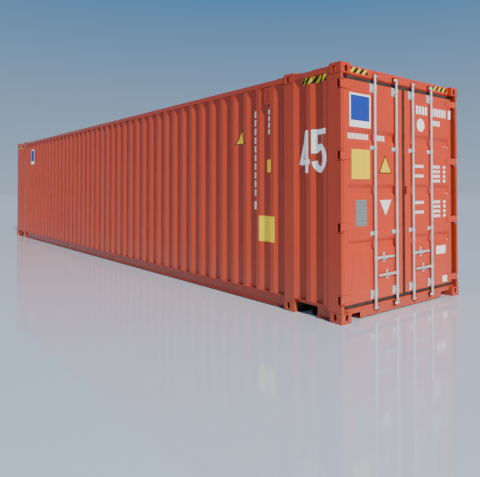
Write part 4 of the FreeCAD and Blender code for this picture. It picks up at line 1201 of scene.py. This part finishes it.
# Rows of bars on the doors, as (left, right, low, high, count).
PAN_ROWS = ((-1.018, -0.640, 2.062, 2.126, 9), (-0.545, -0.330, 2.062, 2.126, 5))
DOOR_ROWS = ((0.287, 0.560, 2.457, 2.565, 4), (0.640, 1.010, 2.457, 2.565, 6))
SHORT_ROW = (0.660, 0.860, 2.330, 2.400, 4)
TALL_BAR = (1.050, 1.118, 2.452, 2.570)
LOW_PLATES = [(0.738, 0.967, 0.600, 0.710), (0.890, 1.023, 0.210, 0.294)]
# Blocks of four rows on the right door, as (low, high).
ROW_BLOCKS = ((1.570, 1.820), (1.100, 1.350))
DOOR_DISC = (0.388, 2.316, 0.085)
# Films on the left side: bars of the tall and short columns start here and step down.
TALL_COLUMN, TALL_PITCH, TALL_BARS = (5.287, 5.357, 2.518), 0.1156, 10
SHORT_COLUMN, SHORT_PITCH, SHORT_BARS = (5.568, 5.632, 2.510), 0.085, 4
CHECK_BAR = (5.281, 5.363, 1.215, 1.321)
WALL_PANEL = (-5.320, -5.010, 2.200, 2.620)
WALL_YELLOWS = ((5.411, 5.719, 0.805, 1.134), (5.545, 5.655, 1.700, 1.862))
WALL_TRIANGLE = (4.899, 5.090, 2.110, 2.270)
WALL_TRIANGLE_RIM = (4.872, 5.118, 2.098, 2.296)
WALL_DIGITS = ((6.166, 1.675), (6.630, 2.178))
HEADER_STRIPES = ((-1.025, -0.700), (0.660, 1.015))
SIDE_STRIPES = ((6.205, 6.630), (-6.630, -6.205))
SIDE_STRIPE_LEVELS = (2.722, 2.800)
BORDER = 0.022
PANEL_FOOT = 0.075
FILM_STEP = 0.006
# Rise over run of the bands' slant.
BAND_SLANT = 0.9


def row_of_bars(start, end, low, high, count, gap_share=0.32):
    """Evenly spaced upright bars between two distances, as stand-ins for a row of characters."""
    pitch = (end - start) / count
    return [(start + i * pitch, start + (i + 1 - gap_share) * pitch, low, high) for i in range(count)]


class CONTAINER_OT_films(bpy.types.Operator):
    """Plain coloured films: digits, blank panels, bars in place of characters, and bands"""

    bl_idname = "container.films"
    bl_label = "Coloured films"

    def execute(self, context):
        self.on_doors()
        self.on_sides()
        self.bands()
        return {"FINISHED"}

    def on_doors(self):
        """Films on the two leaves."""
        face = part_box("left_door_frame")[1].x
        left, right, low, high = DOOR_PANEL
        inside = (left + BORDER, right - BORDER, low + PANEL_FOOT, high - BORDER)
        for name, (y, z), lift, colour in (
            ("door_panel_border", oblong(*DOOR_PANEL), 0.0, "white_film"),
            ("door_panel_centre", oblong(*inside), 1.6, "blue_film"),
            ("door_yellow_panel", oblong(*DOOR_YELLOW), 0.0, "yellow_film"),
            ("door_triangle_rim", triangle(*DOOR_TRIANGLE_RIM), 0.0, "black_film"),
            ("door_triangle_centre", triangle(*DOOR_TRIANGLE), 1.6, "yellow_film"),
            ("door_white_triangle", triangle(*DOOR_WHITE_TRIANGLE), 0.0, "white_film"),
        ):
            piece(name, [on_face(y, z, face, lift)], colour, "left_door")
        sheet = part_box("left_door_panel")
        in_pan = []
        for start, end, low, high in (bar for row in PAN_ROWS for bar in row_of_bars(*row)):
            z, y = oblong(low, high, start, end, 0.004)
            in_pan.append(on_face(y, z, face, 1.0, pan_depth(y, z, *sheet)))
        piece("door_pan_bars", in_pan, "white_film", "left_door")
        rows = [bar for row in DOOR_ROWS for bar in row_of_bars(*row)]
        rows += [TALL_BAR, *row_of_bars(*SHORT_ROW)]
        for low, high in ROW_BLOCKS:
            pitch = (high - low) / 4
            levels = [(low + i * pitch, low + i * pitch + 0.6 * pitch) for i in range(4)]
            for level in levels:
                rows += row_of_bars(0.660, 0.850, *level, 4, 0.22)
                rows += row_of_bars(0.920, 0.990, *level, 1, 0.22)
            for level in levels[1::2]:
                rows += row_of_bars(0.225, 0.455, *level, 5, 0.22)
        rows += LOW_PLATES
        bars = [on_face(*oblong(*row), face) for row in rows]
        bars.append(on_face(*disc(*DOOR_DISC), face))
        piece("door_white_bars", bars, "white_film", "right_door")

    def on_sides(self):
        """Films on the side walls, following the folds."""
        digits = big_digits(*WALL_DIGITS)
        lifts = [1 + 0.5 * i for i in range(len(digits))]
        near = [on_wall(x, z, lift=lift) for (x, z), lift in zip(digits, lifts)]
        # The same digits near the front of the other side, read from outside.
        turned_over = [on_wall(-x, z, "right", lift) for (x, z), lift in zip(digits, lifts)]
        left, right, head = TALL_COLUMN
        column = [
            (left, right, head - TALL_PITCH * i - 0.086, head - TALL_PITCH * i)
            for i in range(TALL_BARS)
        ]
        left, right, head = SHORT_COLUMN
        column += [CHECK_BAR] + [
            (left, right, head - SHORT_PITCH * i - 0.062, head - SHORT_PITCH * i)
            for i in range(SHORT_BARS)
        ]
        white = [on_wall(*oblong(*spot, FILM_STEP)) for spot in [*column, WALL_PANEL]]
        left, right, low, high = WALL_PANEL
        inset = (left + BORDER, right - BORDER, low + PANEL_FOOT, high - BORDER)
        yellow = [on_wall(*oblong(*spot, FILM_STEP)) for spot in WALL_YELLOWS]
        yellow.append(on_wall(*triangle(*WALL_TRIANGLE, FILM_STEP), lift=2.6))
        for name, parts, colour in (
            ("left_wall_digits", near, "white_film"),
            ("right_wall_digits", turned_over, "white_film"),
            ("wall_white_bars", white, "white_film"),
            ("wall_panel_centre", [on_wall(*oblong(*inset, FILM_STEP), lift=2.6)], "blue_film"),
            ("wall_yellow_films", yellow, "yellow_film"),
            ("wall_triangle_rim", [on_wall(*triangle(*WALL_TRIANGLE_RIM, FILM_STEP))], "black_film"),
        ):
            piece(name, parts, colour, "container", crease=80)

    def bands(self):
        """Slanted bands on the header's ends and high on the walls' ends."""
        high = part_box("door_header")[1]
        strips = [oblong(*span, high.z - 0.076, high.z - 0.016, 0.02) for span in HEADER_STRIPES]
        header = [on_face(y, z, high.x) for y, z in strips]
        walls = [
            on_wall(*oblong(*span, *SIDE_STRIPE_LEVELS, FILM_STEP), side=side)
            for side in DOORS for span in SIDE_STRIPES
        ]
        for name, parts, along, crease in (
            ("header_bands", header, AXIS["y"], 35), ("wall_bands", walls, AXIS["x"], 80),
        ):
            points = np.concatenate([part[0] for part in parts])
            slant = points[:, along] - BAND_SLANT * points[:, AXIS["z"]]
            piece(name, parts, "banded_film", "container", values=slant, crease=crease)


# --- finishes on the frame's own pieces -----------------------------------------------------

# Radius of the rolled or ground edges of each piece, in millimetres.
ROLLED = {
    "corner_castings": 5, "middle_castings": 5, "rear_corner_posts": 4, "front_corner_posts": 5,
    "middle_posts": 5, "top_side_rails": 4, "bottom_side_rails": 2.5, "door_header": 4, "door_sill": 4,
    "front_top_rail": 4, "front_sill": 4, "left_door_frame": 3, "right_door_frame": 3,
    "left_door_hinges": 2, "right_door_hinges": 2, "hinge_lugs": 2, "left_rod_brackets": 1.2,
    "right_rod_brackets": 1.2, "left_handle_retainers": 1.5, "right_handle_retainers": 1.5,
    "cam_keepers": 1.5, "door_stop_block": 3,
}
# Pieces whose edges turn paler: partly scuffed paint, partly a painted highlight.
RUBBED_AND_HIGHLIT = {"corner_castings", "middle_castings", "door_sill"}


class CONTAINER_OT_frame_finish(bpy.types.Operator):
    """Finishes and rolled edges on the frame's own pieces"""

    bl_idname = "container.frame_finish"
    bl_label = "Frame finishes"

    def execute(self, context):
        slots = {part["node"]: part["material_slot"] for part in frame["record"]["subparts"]}
        for node, shown in frame["nodes"].items():
            name = "shell_enamel_rubbed" if node in RUBBED_AND_HIGHLIT else FINISH_OF_SLOT[slots[node]]
            shown.data.materials.clear()
            shown.data.materials.append(finish(name))
            if node in ROLLED:
                weld = shown.modifiers.new("weld", "WELD")
                weld.merge_threshold = 1e-5
                flat = shown.modifiers.new("flat", "DECIMATE")
                flat.decimate_type = "DISSOLVE"
                flat.angle_limit = math.radians(0.5)
                edge = shown.modifiers.new("edge", "BEVEL")
                edge.width = mm(ROLLED[node])
                edge.segments = 3
                edge.limit_method = "ANGLE"
                edge.angle_limit = math.radians(40)
        return {"FINISHED"}


# --- stage ----------------------------------------------------------------------------------

FLOOR_HALF = 120
FAR_CLIP = 500
SENSOR_WIDTH = 36


class CONTAINER_OT_stage(bpy.types.Operator):
    """A pale polished floor, a soft key lamp, light from all round, and the camera"""

    bl_idname = "container.stage"
    bl_label = "Stage"

    def execute(self, context):
        setup = studio()
        self.floor()
        world = bpy.data.worlds.new("studio_air")
        world.use_nodes = True
        self.air(world.node_tree, setup.air_power)
        context.scene.world = world
        sun = bpy.data.lights.new("key_lamp", "SUN")
        sun.energy = setup.sun_power
        sun.angle = math.radians(3)
        sun.color = linear("#FFF3E2")
        lamp = bpy.data.objects.new("key_lamp", sun)
        lamp.rotation_euler = (-Vector(setup.sun_from)).to_track_quat("-Z", "Y").to_euler()
        context.scene.collection.objects.link(lamp)
        lens = bpy.data.cameras.new("studio_camera")
        lens.sensor_width = SENSOR_WIDTH
        lens.lens = setup.lens
        lens.shift_x, lens.shift_y = setup.shift_x, setup.shift_y
        lens.clip_end = FAR_CLIP
        camera = bpy.data.objects.new("studio_camera", lens)
        level = math.cos(setup.tilt)
        ahead = Vector((
            level * math.cos(setup.heading), level * math.sin(setup.heading), math.sin(setup.tilt),
        ))
        flat_right = Vector((math.sin(setup.heading), -math.cos(setup.heading), 0))
        flat_up = flat_right.cross(ahead)
        right = flat_right * math.cos(setup.roll) + flat_up * math.sin(setup.roll)
        up = right.cross(ahead)
        turn = Matrix((right, up, -ahead)).transposed().to_4x4()
        camera.matrix_world = Matrix.Translation(Vector(setup.eye)) @ turn
        context.scene.collection.objects.link(camera)
        context.scene.camera = camera
        return {"FINISHED"}

    def air(self, tree, power):
        """Light from all round: pale at the horizon, bluer a third of the way up."""
        tree.nodes.clear()
        rise = add(tree, "SeparateXYZ", {0: (add(tree, "TexCoord"), "Generated")})
        share = ramp(tree, (rise, "Z"), 0.0, 0.35, 0.0, 1.0)
        tone = mix(tree, share, rgba(colours().air), rgba(colours().overhead))
        light = add(tree, "Background", {"Color": tone, "Strength": power})
        add(tree, "OutputWorld", {"Surface": light})

    def floor(self):
        """A square of floor, far larger than the container, at the level that it stands on."""
        half = FLOOR_HALF
        mesh = bpy.data.meshes.new("studio_floor")
        corners = [(-half, -half, 0), (half, -half, 0), (half, half, 0), (-half, half, 0)]
        mesh.from_pydata(corners, [], [(0, 1, 2, 3)])
        material, tree, _ = blank("polished_floor")
        finish_with(tree, {"Base Color": rgba(colours().floor), "Roughness": 0.08, "IOR": 1.9})
        mesh.materials.append(material)
        floor = bpy.data.objects.new("studio_floor", mesh)
        bpy.context.scene.collection.objects.link(floor)


# --- panel and registration -----------------------------------------------------------------

PIECES = (
    CONTAINER_OT_frame_finish, CONTAINER_OT_side_walls, CONTAINER_OT_front_wall, CONTAINER_OT_roof,
    CONTAINER_OT_welds, CONTAINER_OT_ventilators, CONTAINER_OT_deck_screws,
    CONTAINER_OT_door_sheets, CONTAINER_OT_door_seals, CONTAINER_OT_lock_rods,
    CONTAINER_OT_handles, CONTAINER_OT_fasteners, CONTAINER_OT_films, CONTAINER_OT_stage,
)
GROUPS = {
    "container_sizes": ContainerSizes,
    "container_colours": ContainerColours,
    "container_studio": ContainerStudio,
}


class CONTAINER_PT_pieces(bpy.types.Panel):
    """Lists the sizes and the pieces"""

    bl_idname = "CONTAINER_PT_pieces"
    bl_label = "Container"
    bl_space_type = "VIEW_3D"
    bl_region_type = "UI"
    bl_category = "Container"

    def draw(self, context):
        for name, group in GROUPS.items():
            box = self.layout.box()
            for key in group.__annotations__:
                box.prop(getattr(context.scene, name), key)
        for step in PIECES:
            self.layout.operator(step.bl_idname)


CLASSES = (*GROUPS.values(), *PIECES, CONTAINER_PT_pieces)


def register():
    for item in CLASSES:
        bpy.utils.register_class(item)
    for name, group in GROUPS.items():
        setattr(bpy.types.Scene, name, PointerProperty(type=group))


def unregister():
    for name in GROUPS:
        delattr(bpy.types.Scene, name)
    for item in reversed(CLASSES):
        bpy.utils.unregister_class(item)


def main():
    """Makes every piece in order."""
    register()
    for step in PIECES:
        group, name = step.bl_idname.split(".")
        getattr(getattr(bpy.ops, group), name)()


if __name__ == "__main__":
    main()
